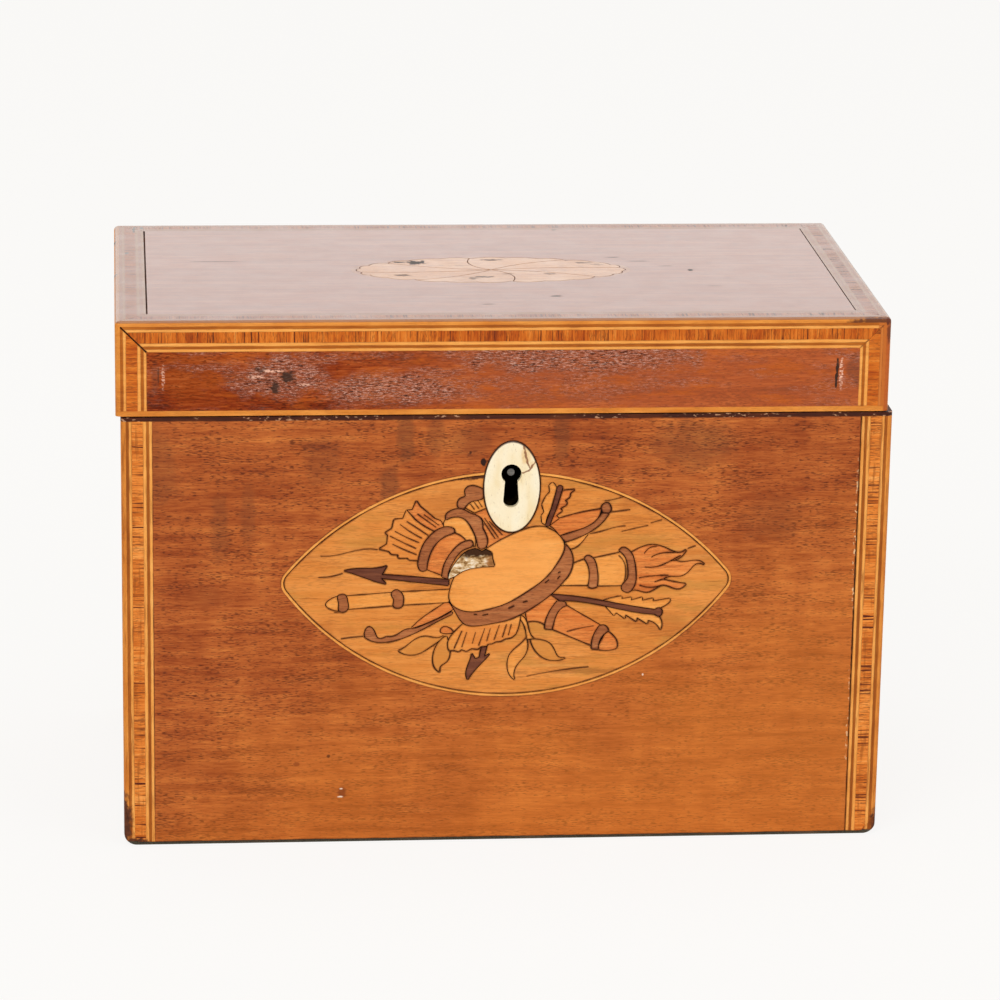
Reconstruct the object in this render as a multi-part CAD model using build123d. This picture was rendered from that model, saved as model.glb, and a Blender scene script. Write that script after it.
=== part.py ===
from build123d import *
from math import cos, pi, sin, sqrt, tan, radians
import os

# Antique tea caddy: a veneered box with two lidded compartments, a box lock, and a lid on two butt hinges.
# Millimetres. The origin is the centre of the base, +Z is up, and the front faces -Y.

# Driving sizes of the box
WIDTH = 190.0
DEPTH = 106.0
BODY_TOP = 111.0
LID_TOP = 135.0
LID_GAP = 0.3
LID_SHIFT = -1.2
BAIZE = 1.0
BAIZE_INSET = 0.6
VENEER = 1.0
WALL = 9.0
BOTTOM = 8.0
LID_RAIL = 7.5
LID_BOARD = 7.0
LID_LINING = 0.5
ARRIS_ROUND = 1.2

# Borders of the veneered faces, from the corner inwards: square edging, then strips of (wood, width)
EDGING = 1.25
RIM_STRIP = 1.0
LID_FOOT_LINE = 1.3
BORDER = [("dark", 0.7), ("light", 0.75), ("cross", 2.7), ("light", 0.85), ("dark", 0.65), ("light", 0.75)]
MITRE = 0.06
OPEN_MITRE = 0.4
FIELD_GAP = 0.25
LID_FIELD_GAP = 0.4

# Worn places of the body
WORN_ROUND = 3.4
WORN_ROUND_END = 0.6
WORN_LENGTH = 22.0
CHIP_DEPTH = 0.5

# Compartments and their inner lids
PARTITION = 5.0
LINING = 2.5
FOIL = 0.4
INNER_LID = 5.0
INNER_LID_DROP = 6.0
INNER_LID_GAP = 0.3
KNOB_HEIGHT = 11.0
KNOB_BALL_R = 3.6
KNOB_FOOT_R = 4.2
KNOB_NECK_R = 1.7
KNOB_TENON_R = 1.6
KNOB_TENON_DEPTH = 4.0
TENON_FIT = 0.02

# Hinges
HINGE_X = 62.0
HINGE_LENGTH = 32.0
HINGE_SET_IN = 2.2
HINGE_OPEN = 100.0
KNUCKLE_R = 2.0
KNUCKLES = 5
KNUCKLE_GAP = 0.15
HINGE_PIN_R = 0.75
PIN_RUNNING_FIT = 0.05
PIN_TIGHT_FIT = 0.02
LEAF = 1.2
LEAF_WIDTH = 6.8
LEAF_FIT = 0.05
KNUCKLE_ROOM = 0.35
SCREW_R = 1.0
SCREW_HEAD_R = 1.9
SCREW_HEAD = 1.1
SCREW_LENGTH = 6.0
SCREW_FIT = 0.02
HINGE_SCREWS = 3
HINGE_SCREW_SPACING = 11.0

# Lock, link plate, keyhole and escutcheon
KEYHOLE_X = 0.69
KEYHOLE_Z = 95.93
KEYHOLE_R = 2.5
KEYHOLE_WAIST = 2.9
KEYHOLE_FOOT = 4.1
KEYHOLE_DROP = 8.5
KEYHOLE_FOOT_R = 1.8
KEY_ROOM = 0.5
ESCUTCHEON_X = 0.87
ESCUTCHEON_Z = 92.6
ESCUTCHEON_WIDTH = 14.0
ESCUTCHEON_HEIGHT = 23.4
ESCUTCHEON_THICK = 1.5
ESCUTCHEON_PROUD = 0.15
ESCUTCHEON_FIT = 0.2
ESCUTCHEON_BEVEL = 0.25
LOCK_WIDTH = 42.0
LOCK_HEIGHT = 30.0
LOCK_DEPTH = 7.0
LOCK_PLATE = 1.0
LOCK_FIT = 0.1
SELVEDGE_WIDTH = 54.0
SELVEDGE_DEPTH = 7.4
SELVEDGE = 1.5
DRILL_PIN_R = 0.9
DRILL_PIN_LENGTH = 8.3
BOLT_THICK = 4.0
BOLT_BAR = 3.6
BOLT_LENGTH = 31.0
BOLT_THROW = 4.5
BOLT_Z = 102.8
BOLT_NOTCH = 5.0
BOLT_NOTCH_DEPTH = 2.2
BOLT_SEAT = 3.0
BOLT_SEAT_GAP = 0.1
FINGER_HEIGHT = 2.6
FINGER_THICK = 1.4
FINGER_Z = 106.0
FINGER_SHY = 0.7
POST_WIDTH = 2.6
STAPLE_X = 9.0
STAPLE_WIDTH = 2.5
STAPLE_DEPTH = 3.6
STAPLE_WIRE = 0.9
STAPLE_DROP = 8.0
STAPLE_ROOM = 0.5
LINK_WIDTH = 46.0
LINK_DEPTH = 6.2
LINK_THICK = 1.5
LOCK_SCREW_X = 23.8
LINK_SCREW_X = 18.5
SPRING_THICK = 0.5
SPRING_WIDTH = 3.0
SPRING_LENGTH = 9.0
SPRING_BEND = 2.0

# Marquetry of the front: a pointed oval of two arcs, laid in a dark glue bed
OVAL_X = 0.05
OVAL_Z = 68.4
OVAL_HALF_LENGTH = 57.0
OVAL_RISE = 28.2
OVAL_FALL = 30.2
OVAL_TIP_ROUND = 4.0
STRINGING = 0.6
KERF = 0.25
FINE_KERF = 0.18
MARQUETRY = 0.6
SMALLEST_PIECE = 0.2
TROPHY_X = 0.3
TROPHY_Z = 67.1

# Marquetry of the lid: an oval of wavy leaves round a small centre
LID_OVAL_X = -0.5
LID_OVAL_Y = -0.4
LID_OVAL_HALF_LENGTH = 35.7
LID_OVAL_HALF_WIDTH = 14.4
LID_LEAVES = 8
LID_LEAF_START = 0.12
LID_LEAF_WAVES = 3
LID_LEAF_WAVE = 0.8
LID_LEAF_NOTCH = 1.6
LID_LEAF_TURN = 0.18
LID_LEAF_MARGIN = 0.96

# Levels and faces that follow from those sizes
HALF_W = WIDTH / 2
HALF_D = DEPTH / 2
LID_BOTTOM = BODY_TOP + LID_GAP
INNER_X = HALF_W - VENEER - WALL
INNER_Y = HALF_D - VENEER - WALL
FLOOR = BAIZE + BOTTOM
INNER_LID_TOP = BODY_TOP - INNER_LID_DROP
LEDGE = INNER_LID_TOP - INNER_LID
HINGE_Y = HALF_D - HINGE_SET_IN
HINGE_Z = BODY_TOP + LID_GAP / 2
LID_CEILING = LID_TOP - VENEER - LID_BOARD
LOCK_BACK_Y = -INNER_Y
LOCK_FRONT_Y = LOCK_BACK_Y - LOCK_DEPTH
STAPLE_Y = LOCK_BACK_Y - LOCK_DEPTH / 2
LOCK_BOTTOM = BODY_TOP - LOCK_HEIGHT
LID_INNER_X = HALF_W - VENEER - LID_RAIL
LID_INNER_Y = HALF_D - VENEER - LID_RAIL
LINK_Y = -LID_INNER_Y - LINK_DEPTH / 2


def block(x_span, y_span, z_span):
    """A box between two values on each axis."""
    size = [b - a for a, b in (x_span, y_span, z_span)]
    middle = [(a + b) / 2 for a, b in (x_span, y_span, z_span)]
    return Pos(*middle) * Box(*size)


def span(middle, size):
    return middle - size / 2, middle + size / 2


def frame_bar(half_x, half_y, thick, z_span):
    """A square-cornered ring with walls of one thickness."""
    outer = block((-half_x, half_x), (-half_y, half_y), z_span)
    return outer - block((thick - half_x, half_x - thick), (thick - half_y, half_y - thick), z_span)


def face_plane(side, x_shift=0.0):
    """The plane of one outer face: local x runs along the face, local y up, and z points out."""
    planes = {
        "front": Plane(origin=(x_shift, -HALF_D, 0), x_dir=(1, 0, 0), z_dir=(0, -1, 0)),
        "back": Plane(origin=(x_shift, HALF_D, 0), x_dir=(-1, 0, 0), z_dir=(0, 1, 0)),
        "left": Plane(origin=(x_shift - HALF_W, 0, 0), x_dir=(0, -1, 0), z_dir=(-1, 0, 0)),
        "right": Plane(origin=(x_shift + HALF_W, 0, 0), x_dir=(0, 1, 0), z_dir=(1, 0, 0)),
        "top": Plane(origin=(x_shift, 0, LID_TOP), x_dir=(1, 0, 0), z_dir=(0, 0, 1)),
    }
    return planes[side]


def lay(plane, sketch, thick, down=0.0):
    """Lays a flat outline into a face, with its outer surface `down` below it."""
    into = plane.z_dir * -1
    return Pos(*(into * down)) * extrude(plane * sketch, thick, dir=into)


def lay_all(plane, faces):
    """Lays every face of a marquetry into its glue bed."""
    return Compound([solid for face in faces for solid in lay(plane, face, MARQUETRY).solids()])


def solids_of(*shapes):
    return [solid for shape in shapes for solid in shape.solids()]


def with_box(shape):
    """A shape with its lowest and highest corner, which are slow to find and needed often."""
    box = shape.bounding_box()
    return shape, tuple(box.min), tuple(box.max)


def reached(shape, cutters, room=0.0):
    """The cutters, each with its box, whose boxes come within `room` of the shape's box."""
    _, low, high = with_box(shape)
    close = []
    for cutter, cutter_low, cutter_high in cutters:
        gaps = [max(a - d, c - b) for a, b, c, d in zip(low, high, cutter_low, cutter_high)]
        if max(gaps) < room:
            close.append(cutter)
    return close


def trim(shapes, cutters):
    """Takes each cutter off the solids that it reaches."""
    boxed = [with_box(cutter) for cutter in cutters]
    trimmed = []
    for solid in solids_of(*shapes):
        close = reached(solid, boxed)
        trimmed += solid.cut(*close).solids() if close else [solid]
    return trimmed


def save(name, *shapes):
    solids = solids_of(*shapes)
    export_step(Compound(solids), f"parts/{name}.step")
    volume = sum(solid.volume for solid in solids)
    print(f"{name:24} {len(solids):4} solids {volume:12.2f} mm3")


# Borders

def inset_box(box, sides, inset):
    x0, x1, y0, y1 = box
    return (
        x0 + inset * ("left" in sides),
        x1 - inset * ("right" in sides),
        y0 + inset * ("bottom" in sides),
        y1 - inset * ("top" in sides),
    )


def rectangle(box):
    x0, x1, y0, y1 = box
    return Pos((x0 + x1) / 2, (y0 + y1) / 2) * Rectangle(x1 - x0, y1 - y0)


def mitre_slits(box, sides, widths):
    """Thin diagonal slits where two borders of one face meet, each with its own width."""
    x0, x1, y0, y1 = box
    length = 2 * border_width() * sqrt(2)
    corners = {("left", "top"): (x0, y1, -45), ("right", "top"): (x1, y1, 45)}
    corners |= {("left", "bottom"): (x0, y0, 45), ("right", "bottom"): (x1, y0, -45)}
    slits = []
    for pair, (x, y, turn) in corners.items():
        if set(pair) <= set(sides):
            slits.append(Pos(x, y) * Rot(0, 0, turn) * Rectangle(length, widths.get(pair, MITRE)))
    return slits


def border_width():
    return sum(width for wood, width in BORDER)


def border(plane, box, sides, slit_widths=None):
    """The strips of a border inside a box, by wood, and the box of the field that is left."""
    strips = {"dark": [], "light": [], "cross": []}
    slits = mitre_slits(box, sides, slit_widths or {})
    start = 0.0
    for wood, width in BORDER:
        outer = rectangle(inset_box(box, sides, start))
        ring = outer - rectangle(inset_box(box, sides, start + width))
        strips[wood].append(lay(plane, ring.cut(*slits) if slits else ring, VENEER))
        start += width
    return strips, inset_box(box, sides, start)


# Marquetry outlines. Each stretch of an outline is a curve, a zigzag or a straight line through chosen
# points.

def curve(*points):
    return Spline(*points)


def zigzag(*points):
    return Polyline(*points)


def shape(*stretches):
    return make_face(list(stretches))


def loop(*points):
    return make_face([Spline(*points, periodic=True)])


def kerfs(width, *lines):
    """Fine saw lines, each through two or more points."""
    cuts = []
    for line in lines:
        path = Line(*line) if len(line) == 2 else Spline(*line)
        cuts += trace([path], width).faces()
    return cuts


DRUM_HEAD = loop(
    (-14.5, -1.5), (-13.6, -4.9), (-10.5, -6.4), (-5.5, -6.1), (0, -4.3), (5, -1.3), (9.6, 2.4), (12.5, 6.5),
    (13.8, 10.3), (11.9, 13.4), (8.2, 15.2), (3, 14.2), (-3.5, 10.9), (-9.5, 6.5), (-13.2, 2.4),
)
FILLER = shape(
    zigzag((-3.5, 5.2), (-6.5, 5), (-9.5, 4.6), (-11.5, 3.9), (-13.2, 2.7), (-14.8, 2)),
    curve((-14.8, 2), (-14.2, 4.2), (-12.9, 6.3), (-10.6, 8.8), (-8, 9.6)),
    zigzag((-8, 9.6), (-6.6, 8.9), (-5.6, 9.4), (-4.2, 8.6), (-4, 7), (-3.5, 5.2)),
)
DRUM_SHELL = shape(
    curve((-14.7, -3.8), (-13.1, -6.3), (-10.6, -9.8), (-5, -9.9), (0, -8.9), (6, -5.8), (10.6, -2.4),
          (14, 1.3)),
    curve((14, 1.3), (15.9, 5), (15.9, 7.4), (14, 10.6)),
    curve((14, 10.6), (10, 3), (0, -3), (-9, -5), (-14.7, -3.8)),
)
DRUM_LACING = kerfs(
    FINE_KERF * 1.6,
    ((-8.4, -7.3), (-7.6, -7.4)), ((-6.2, -7.6), (-4.8, -7.3)), ((0.2, -5.9), (1.6, -5.2)),
    ((3.8, -4.3), (4.9, -4)),
    ((12.3, 1.6), (12.9, 2.4)), ((12.4, 3.2), (13, 3.5)), ((9.2, 0.6), (10.2, 1.5)),
)
FRINGE = shape(
    curve((3.2, -7.9), (-2, -9.3), (-7, -10), (-11.2, -9.9)),
    curve((-11.2, -9.9), (-13.4, -12.2), (-14.6, -14.2), (-14.4, -16.7)),
    zigzag(
        (-14.4, -16.7), (-13.3, -16.6), (-12, -17), (-11.4, -16.4), (-10.1, -16.9), (-8.9, -16.2),
        (-7.3, -16.4),
        (-6.5, -15.7), (-5.1, -15.6), (-4.8, -15.1), (-3.8, -15), (-2.8, -14.5), (-1.5, -14.4), (-0.6, -13.8),
        (1, -13.5), (2.1, -12.6),
    ),
    curve((2.1, -12.6), (2.7, -10.8), (3.2, -7.9)),
)
FRINGE_STRIPES = kerfs(
    FINE_KERF,
    ((-11.3, -11.6), (-13.2, -16.2)), ((-10.1, -12), (-11.3, -15.9)), ((-7.9, -12), (-8.7, -15)),
    ((-5.6, -11), (-7.1, -15.5)), ((-4.2, -11), (-5.1, -14.4)), ((-2, -10.2), (-3.3, -14.1)),
    ((-0.2, -10), (-1.2, -13.4)), ((1, -10), (0.3, -12.9)),
)
LOW_ARROW = shape(
    curve((-9.7, -24.4), (-10.1, -22.6), (-9.4, -20), (-8.8, -17.6)),
    zigzag((-8.8, -17.6), (-7.9, -19), (-6.9, -18.7), (-6.2, -15.4), (-4.9, -15), (-5.7, -18.4),
           (-4.3, -17.7)),
    curve((-4.3, -17.7), (-6.6, -20.3), (-8.5, -22.5), (-9.7, -24.4)),
)
LEFT_LEAF = shape(
    curve((-27, -16.6), (-24.6, -15.1), (-22.3, -13.4), (-20, -13), (-17.8, -13.4), (-15.8, -12.8)),
    curve((-15.8, -12.8), (-16.9, -14), (-19.2, -15.7), (-21.6, -17.2), (-24.3, -17.7), (-27, -16.6)),
)
DOWN_LEAF = shape(
    curve((-16.2, -13.5), (-17.6, -15.5), (-18.4, -18.2), (-18, -21), (-16.7, -22.3)),
    curve((-16.7, -22.3), (-16.2, -20.4), (-15, -19.5), (-14.3, -17.6), (-14.6, -14.8), (-15.1, -13)),
    zigzag((-15.1, -13), (-16.2, -13.5)),
)
LEAF_KNOT = loop((-13.6, -11.7), (-14.6, -10.8), (-16, -10.6), (-16.6, -11.6), (-15.2, -12.2))
BOW_LOWER = shape(
    curve((-13.8, -6.6), (-17, -8.4), (-20.2, -9.8), (-23, -10.9), (-25.2, -11.1), (-27, -12.2),
          (-30, -12.9)),
    curve((-30, -12.9), (-32.6, -12.8), (-33.4, -11), (-34.4, -10.3), (-35.4, -11.6), (-35.2, -13.1)),
    curve((-35.2, -13.1), (-32, -14.3), (-28, -13.9), (-24.6, -12.7), (-20, -10.4), (-13.8, -7.2)),
    zigzag((-13.8, -7.2), (-13.8, -6.6)),
)
BOW_UPPER = shape(
    curve((-23.8, -10.7), (-21.8, -8.7), (-19, -6.6), (-15.4, -4.1)),
    curve((-15.4, -4.1), (-14.4, -4.6), (-13.6, -5.9)),
    curve((-13.6, -5.9), (-17, -7.9), (-20.2, -9.4), (-23.8, -10.7)),
)
STAFF_TIP = shape(
    curve((-41.5, -2.4), (-44.4, -3.4), (-45.1, -4.4), (-44.3, -5.3), (-41.5, -5.6)),
    zigzag((-41.5, -5.6), (-41.5, -2.4)),
)
STAFF_RING_1 = loop(
    (-41.6, -1.9), (-40.3, -2.1), (-39.8, -3.7), (-39.7, -5.4), (-40.4, -6.2), (-41.7, -6.1), (-41.9, -4),
)
STAFF_RING_2 = loop((-28.7, -1.4), (-27.6, -0.8), (-26.3, -1.9), (-26, -4), (-26.5, -5.2), (-28.3, -5.1),
                    (-28.3, -3.2))
STAFF_1 = shape(zigzag((-40.5, -2.3), (-27.5, -1.4), (-27.5, -4.7), (-40.5, -5.6), (-40.5, -2.3)))
STAFF_2 = shape(zigzag((-27.5, -1.4), (-13.5, -0.8), (-13.5, -4), (-27.5, -4.7), (-27.5, -1.4)))
LEFT_ARROW = shape(
    curve((-40.6, 4.3), (-36, 4.8), (-32.6, 4.9), (-30.1, 5.5)),
    zigzag((-30.1, 5.5), (-31.4, 3.2), (-27, 2.9), (-14.8, 1.7), (-14.8, 0.3), (-24, 1.4), (-31.6, 2.4),
           (-30.3, 0.8)),
    curve((-30.3, 0.8), (-33.6, 1.8), (-37, 3.1), (-40.6, 4.3)),
)
FEATHERS_LOWER = shape(
    zigzag(
        (-22, 6.8), (-24.7, 7), (-24.9, 7.5), (-27.3, 7.5), (-27.3, 8.4), (-29, 8.5), (-29.6, 9.3),
        (-32, 9.9),
        (-30.1, 11.1), (-29.9, 13.5), (-30.6, 14), (-28.9, 15.1), (-28.4, 17.4), (-26.2, 17.6), (-25.4, 19.7),
        (-23.2, 17.2),
    ),
    curve((-23.2, 17.2), (-21.5, 15.9), (-18.4, 14.1)),
    curve((-18.4, 14.1), (-21.5, 10.6), (-22, 6.8)),
)
FEATHERS_UPPER = shape(
    zigzag((-25.4, 19.7), (-23.9, 19.8), (-23, 22.1), (-22, 20.6), (-20.8, 19.6), (-18.4, 17.5),
           (-16.9, 16.9)),
    zigzag((-16.9, 16.9), (-16.1, 15.2), (-18.4, 14.1)),
    curve((-18.4, 14.1), (-21.5, 15.9), (-23.2, 17.2), (-25.4, 19.7)),
)
FEATHER_LINES = kerfs(
    FINE_KERF,
    ((-25.3, 16.9), (-22.5, 15), (-19.9, 13.2)), ((-27, 16.2), (-24.5, 14.3), (-21.5, 12.5)),
    ((-28.2, 14.4), (-25.5, 12.9), (-22.2, 11.4)), ((-29.4, 13.2), (-26.4, 11.6), (-22.9, 9.9)),
    ((-28.8, 11.1), (-26, 9.7), (-22.8, 8.3)), ((-22.7, 18.8), (-20.4, 17.1), (-18, 15.3)),
    ((-21.1, 18.6), (-19, 17.1), (-17.3, 15.8)),
)
QUIVER_MOUTH = shape(
    curve((-22.4, 5.8), (-21.9, 8.6), (-20.4, 12), (-18.4, 14.1), (-15.9, 15.3), (-14, 15.1)),
    curve((-14, 15.1), (-13.5, 14.3), (-14.6, 13.5)),
    curve((-14.6, 13.5), (-17.8, 11.4), (-19.6, 8.2), (-20.3, 4.4)),
    curve((-20.3, 4.4), (-21.4, 4.1), (-22.4, 5.8)),
)
QUIVER_BODY = shape(
    zigzag((-20.4, 4.6), (-16, 2.8)),
    curve((-16, 2.8), (-13.8, 9.2), (-10.8, 11.9)),
    curve((-10.8, 11.9), (-12.7, 13.4), (-14.8, 13.8)),
    curve((-14.8, 13.8), (-17.8, 11.6), (-19.8, 8.2), (-20.4, 4.6)),
)
QUIVER_BAND = shape(
    curve((-16.4, 2.5), (-15.7, 6), (-13.8, 9.2), (-11.6, 11.2), (-9.4, 11.8)),
    curve((-9.4, 11.8), (-8.9, 10.9), (-9.8, 10)),
    curve((-9.8, 10), (-12.3, 8.6), (-13.8, 6.3), (-14.8, 4), (-15, 2)),
    zigzag((-15, 2), (-16.4, 2.5)),
)
HORN_BELL = shape(
    curve((-15.9, 15.2), (-15.8, 17), (-13.4, 18), (-11.2, 17.4), (-9.5, 15), (-8.3, 11.9), (-8.5, 10.2)),
    curve((-8.5, 10.2), (-9.8, 11.7), (-11.8, 12.2), (-13.6, 14.6), (-15.9, 15.2)),
)
HORN_TUBE = shape(
    curve((-15.6, 17.2), (-15.5, 18.6), (-13.6, 19.8), (-11.8, 19.9), (-9.8, 18.9), (-8.1, 18.2), (-6.6, 15)),
    curve((-6.6, 15), (-5.5, 12.6), (-5.5, 10.6), (-6.4, 9.7), (-7.6, 10.2)),
    curve((-7.6, 10.2), (-8.2, 12.9), (-9.5, 15.6), (-11.3, 17.6), (-13.4, 18), (-15.6, 17.2)),
)
SCROLL = loop(
    (-12, 19.9), (-12.8, 21.3), (-12, 22.7), (-10.9, 23.2), (-11, 24.6), (-9.8, 25.8), (-8, 25.6),
    (-6.3, 24.4),
    (-6.4, 23), (-9.4, 21.9), (-11, 20.4),
)
PIPES_TOP = shape(zigzag((-11, 20.4), (-9.5, 22.1), (-6.2, 23.4), (-5.2, 20.4), (-8.6, 19), (-11, 20.4)))
PIPES = shape(
    curve((-8.4, 18.8), (-6.9, 16), (-5.7, 12.8), (-5.3, 9.8)),
    zigzag((-5.3, 9.8), (-2.6, 11.8), (1.5, 13.8), (1.5, 17), (-5.2, 20.3), (-8.4, 18.8)),
)
PIPE_LINES = kerfs(
    FINE_KERF,
    ((-9.7, 21.3), (-8.6, 19.8)), ((-8.8, 21.8), (-7.5, 20)), ((-7.8, 22.1), (-6.7, 20.4)),
    ((-7, 17.8), (-3.4, 12.2)), ((-6.1, 17.6), (-2.6, 12.5)), ((-5, 16.8), (-1.6, 13.2)),
)
FLETCH_SHAFT = shape(
    curve((9, 15.4), (10.6, 20.2), (11.8, 25.2)), curve((11.8, 25.2), (12.4, 25.7), (13.1, 25.3)),
    curve((13.1, 25.3), (11.8, 20.6), (9.9, 15.4)), zigzag((9.9, 15.4), (9, 15.4)),
)
FLETCH_RIGHT = shape(
    curve((10, 15.6), (11.4, 19.4), (12.9, 24.4)),
    zigzag(
        (12.9, 24.4), (16.1, 24.7), (15, 23.8), (14.9, 22.8), (13.7, 21.9), (14.3, 21.3), (14, 20.7),
        (12.6, 19.9),
        (13.1, 19.2), (11.6, 18.1), (12.3, 17.3), (10, 15.6),
    ),
)
FLETCH_LEFT = shape(
    zigzag((9.1, 15.6), (8.2, 16.3), (8, 18), (8.7, 19), (8.1, 20.9), (9, 23), (10, 24.1), (9.8, 25.9),
           (10.6, 26.5)),
    curve((10.6, 26.5), (11.5, 25.3), (10.6, 20.6), (9.1, 15.6)),
)
STICK_BACK = shape(
    zigzag((10.2, 15.5), (12.5, 17.3)), curve((12.5, 17.3), (16, 18.3), (22.8, 19.6)),
    curve((22.8, 19.6), (21.2, 16.5), (16.5, 14.2), (12.6, 12.9)),
    curve((12.6, 12.9), (11.6, 14.3), (10.2, 15.5)),
)
STICK = shape(
    curve((12.7, 12.7), (16.2, 13.8), (20.5, 15.7), (23.1, 18.5)), zigzag((23.1, 18.5), (24.7, 18.4)),
    curve((24.7, 18.4), (22.8, 15.9), (19.2, 13.3), (14.2, 11.3)), zigzag((14.2, 11.3), (12.7, 12.7)),
)
STICK_KNOB = loop((22.9, 19.6), (23.3, 20.8), (24.3, 21.2), (25.1, 20.2), (25, 18.9), (23.8, 18.5))
STICK_LEAF = shape(
    curve((14.4, 9.5), (16.5, 9.8), (18.3, 11.4), (19.6, 13.2)),
    curve((19.6, 13.2), (17, 12.3), (14.3, 11.1)), curve((14.3, 11.1), (14, 10.3), (14.4, 9.5)),
)
TORCH_STUB = shape(
    curve((15.9, 5.4), (17.4, 6.1), (20.4, 6.9)), zigzag((20.4, 6.9), (20.9, 0)),
    zigzag((20.9, 0), (12.6, 0)),
    curve((12.6, 0), (14.8, 2.8), (15.9, 5.4)),
)
TORCH_RING_1 = shape(
    curve((18.9, 6.8), (19.8, 7.6), (21, 6.9), (22, 4.4), (22.3, 2), (22.2, -0.4)),
    curve((22.2, -0.4), (21, -0.8), (20, -0.4)), curve((20, -0.4), (20.3, 2), (20.1, 4.4), (18.9, 6.8)),
)
TORCH_TUBE = shape(
    curve((20.8, 6.8), (24.5, 7.6), (28.6, 8.5)), zigzag((28.6, 8.5), (30.5, 4), (29, -0.2), (22, -0.2)),
    zigzag((22, -0.2), (20.8, 6.8)),
)
TORCH_GLINT = kerfs(FINE_KERF, ((27.4, 7.6), (28.9, 5.6), (29.3, 3), (28.9, 0.4)))
TORCH_RING_2 = shape(
    curve((27.5, 8.8), (28.6, 9.6), (30.1, 8.7), (31.3, 6.2), (31.8, 2.6), (31.5, -0.2), (30.2, -1.9),
          (28.5, -1.3)),
    curve((28.5, -1.3), (28.4, -0.4), (29.6, 1.2), (29.9, 4), (29.2, 7), (27.5, 8.8)),
)
FLAMES = shape(
    curve((30, 8), (32.6, 9.4), (35.2, 10.2), (38, 9.8), (40, 8.9), (42, 8.1), (44.2, 8.9)),
    curve((44.2, 8.9), (43.4, 7.5), (41.4, 6.3)), curve((41.4, 6.3), (44.2, 5.7), (47, 6), (48.9, 5)),
    curve((48.9, 5), (46.4, 5), (44.9, 3.3), (43.2, 2.2), (40.4, 2.1), (38.6, 1.2)),
    curve((38.6, 1.2), (41, 0.6), (44.4, 0)),
    curve((44.4, 0), (41.6, -1.1), (38.6, -0.2), (36.9, -1), (34.6, -2), (32, -1.4), (30.6, -1.6)),
    zigzag((30.6, -1.6), (30, 8)),
)
FLAME_LINES = kerfs(
    FINE_KERF * 1.4,
    ((33.8, 8), (34.9, 9.3), (36.9, 9.9)), ((35.6, 7), (37.8, 8), (40.4, 8.2), (42.6, 8.3)),
    ((34, 4.5), (36.6, 4.5), (40, 5.8), (42.9, 7.4)), ((41.6, 6.1), (40.2, 6)),
    ((32.6, 1.7), (36.4, 2.2), (40, 2.3)), ((36.5, 0.6), (38.6, 1.3)),
    ((32.8, -0.2), (36, -0.8), (38.4, -0.3)),
)
RIGHT_ARROW = shape(
    curve((10.8, -2.4), (16, -2.9), (24, -4.3), (36.8, -6.7)),
    curve((36.8, -6.7), (38.5, -6.8), (38.4, -8), (36.9, -7.8)),
    curve((36.9, -7.8), (24, -5.4), (16.5, -4.1), (13, -4)), zigzag((13, -4), (10.8, -2.4)),
)
ARROW_FLETCH_TOP = shape(
    curve((23.6, -4.3), (25.6, -3.6), (28.4, -3.1)),
    zigzag(
        (28.4, -3.1), (28.4, -3.8), (30.8, -3.4), (30.8, -4.2), (33.5, -3.4), (33.6, -4.3), (36.2, -3.7),
        (36.3, -4.5), (40.4, -3.8), (40.6, -4.4),
    ),
    curve((40.6, -4.4), (38.8, -5.8), (36.6, -6.5)), zigzag((36.6, -6.5), (23.6, -4.3)),
)
ARROW_FLETCH_LOW = shape(
    zigzag(
        (24.4, -5.5), (26.6, -8), (27.1, -7.2), (29.3, -8.8), (29.5, -7.8), (32.2, -9.6), (32.4, -8.6),
        (35, -10.3),
        (35.1, -9.3),
    ),
    curve((35.1, -9.3), (37.2, -10.3), (38.3, -11.9)), curve((38.3, -11.9), (38.5, -9.8), (37, -7.7)),
    zigzag((37, -7.7), (24.4, -5.5)),
)
LOW_QUIVER_RING = shape(
    curve((12.4, -4.1), (11, -6), (9.8, -8.6), (9.4, -11.3)), zigzag((9.4, -11.3), (11.1, -11.5)),
    curve((11.1, -11.5), (11.8, -8.6), (12.8, -6.5), (14.6, -5.3)),
    zigzag((14.6, -5.3), (14.3, -4.4), (12.4, -4.1)),
)
LOW_QUIVER = shape(
    zigzag((14.2, -5.1), (23.4, -10.7)), curve((23.4, -10.7), (22, -12.8), (21.2, -15.8)),
    zigzag((21.2, -15.8), (11, -11.3)), curve((11, -11.3), (11.9, -8.3), (14.2, -5.1)),
)
LOW_QUIVER_LINE = kerfs(FINE_KERF, ((14.9, -12.1), (18, -11.3), (21.6, -10.7)))
LOW_QUIVER_BAND = shape(
    curve((23, -10.8), (24.1, -10.6), (25.3, -12)), curve((25.3, -12), (23.4, -13.9), (22.8, -16.8)),
    zigzag((22.8, -16.8), (21.2, -16.7)), curve((21.2, -16.7), (21.6, -13.4), (23, -10.8)),
)
LOW_QUIVER_CAP = shape(
    curve((24.9, -12), (26.4, -13.3), (27.1, -14.2), (27.4, -16.6)),
    curve((27.4, -16.6), (25, -17.1), (22.6, -16.8)),
    zigzag((22.6, -16.8), (24.9, -12)),
)
LOW_QUIVER_NECK = shape(
    zigzag((4.4, -6.6), (10.8, -2.4), (12.6, -4)), curve((12.6, -4), (10.6, -6.5), (9.6, -10.4)),
    curve((9.6, -10.4), (7.4, -9.3), (5, -9.4)), zigzag((5, -9.4), (4.4, -6.6)),
)
LEAF_STEM = shape(
    curve((3.4, -7.8), (4.9, -9.9), (5.6, -12.4), (6.6, -13.8)), zigzag((6.6, -13.8), (4.9, -14)),
    curve((4.9, -14), (4.7, -11.8), (4, -9.8), (2.8, -8.2)), zigzag((2.8, -8.2), (3.4, -7.8)),
)
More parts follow.
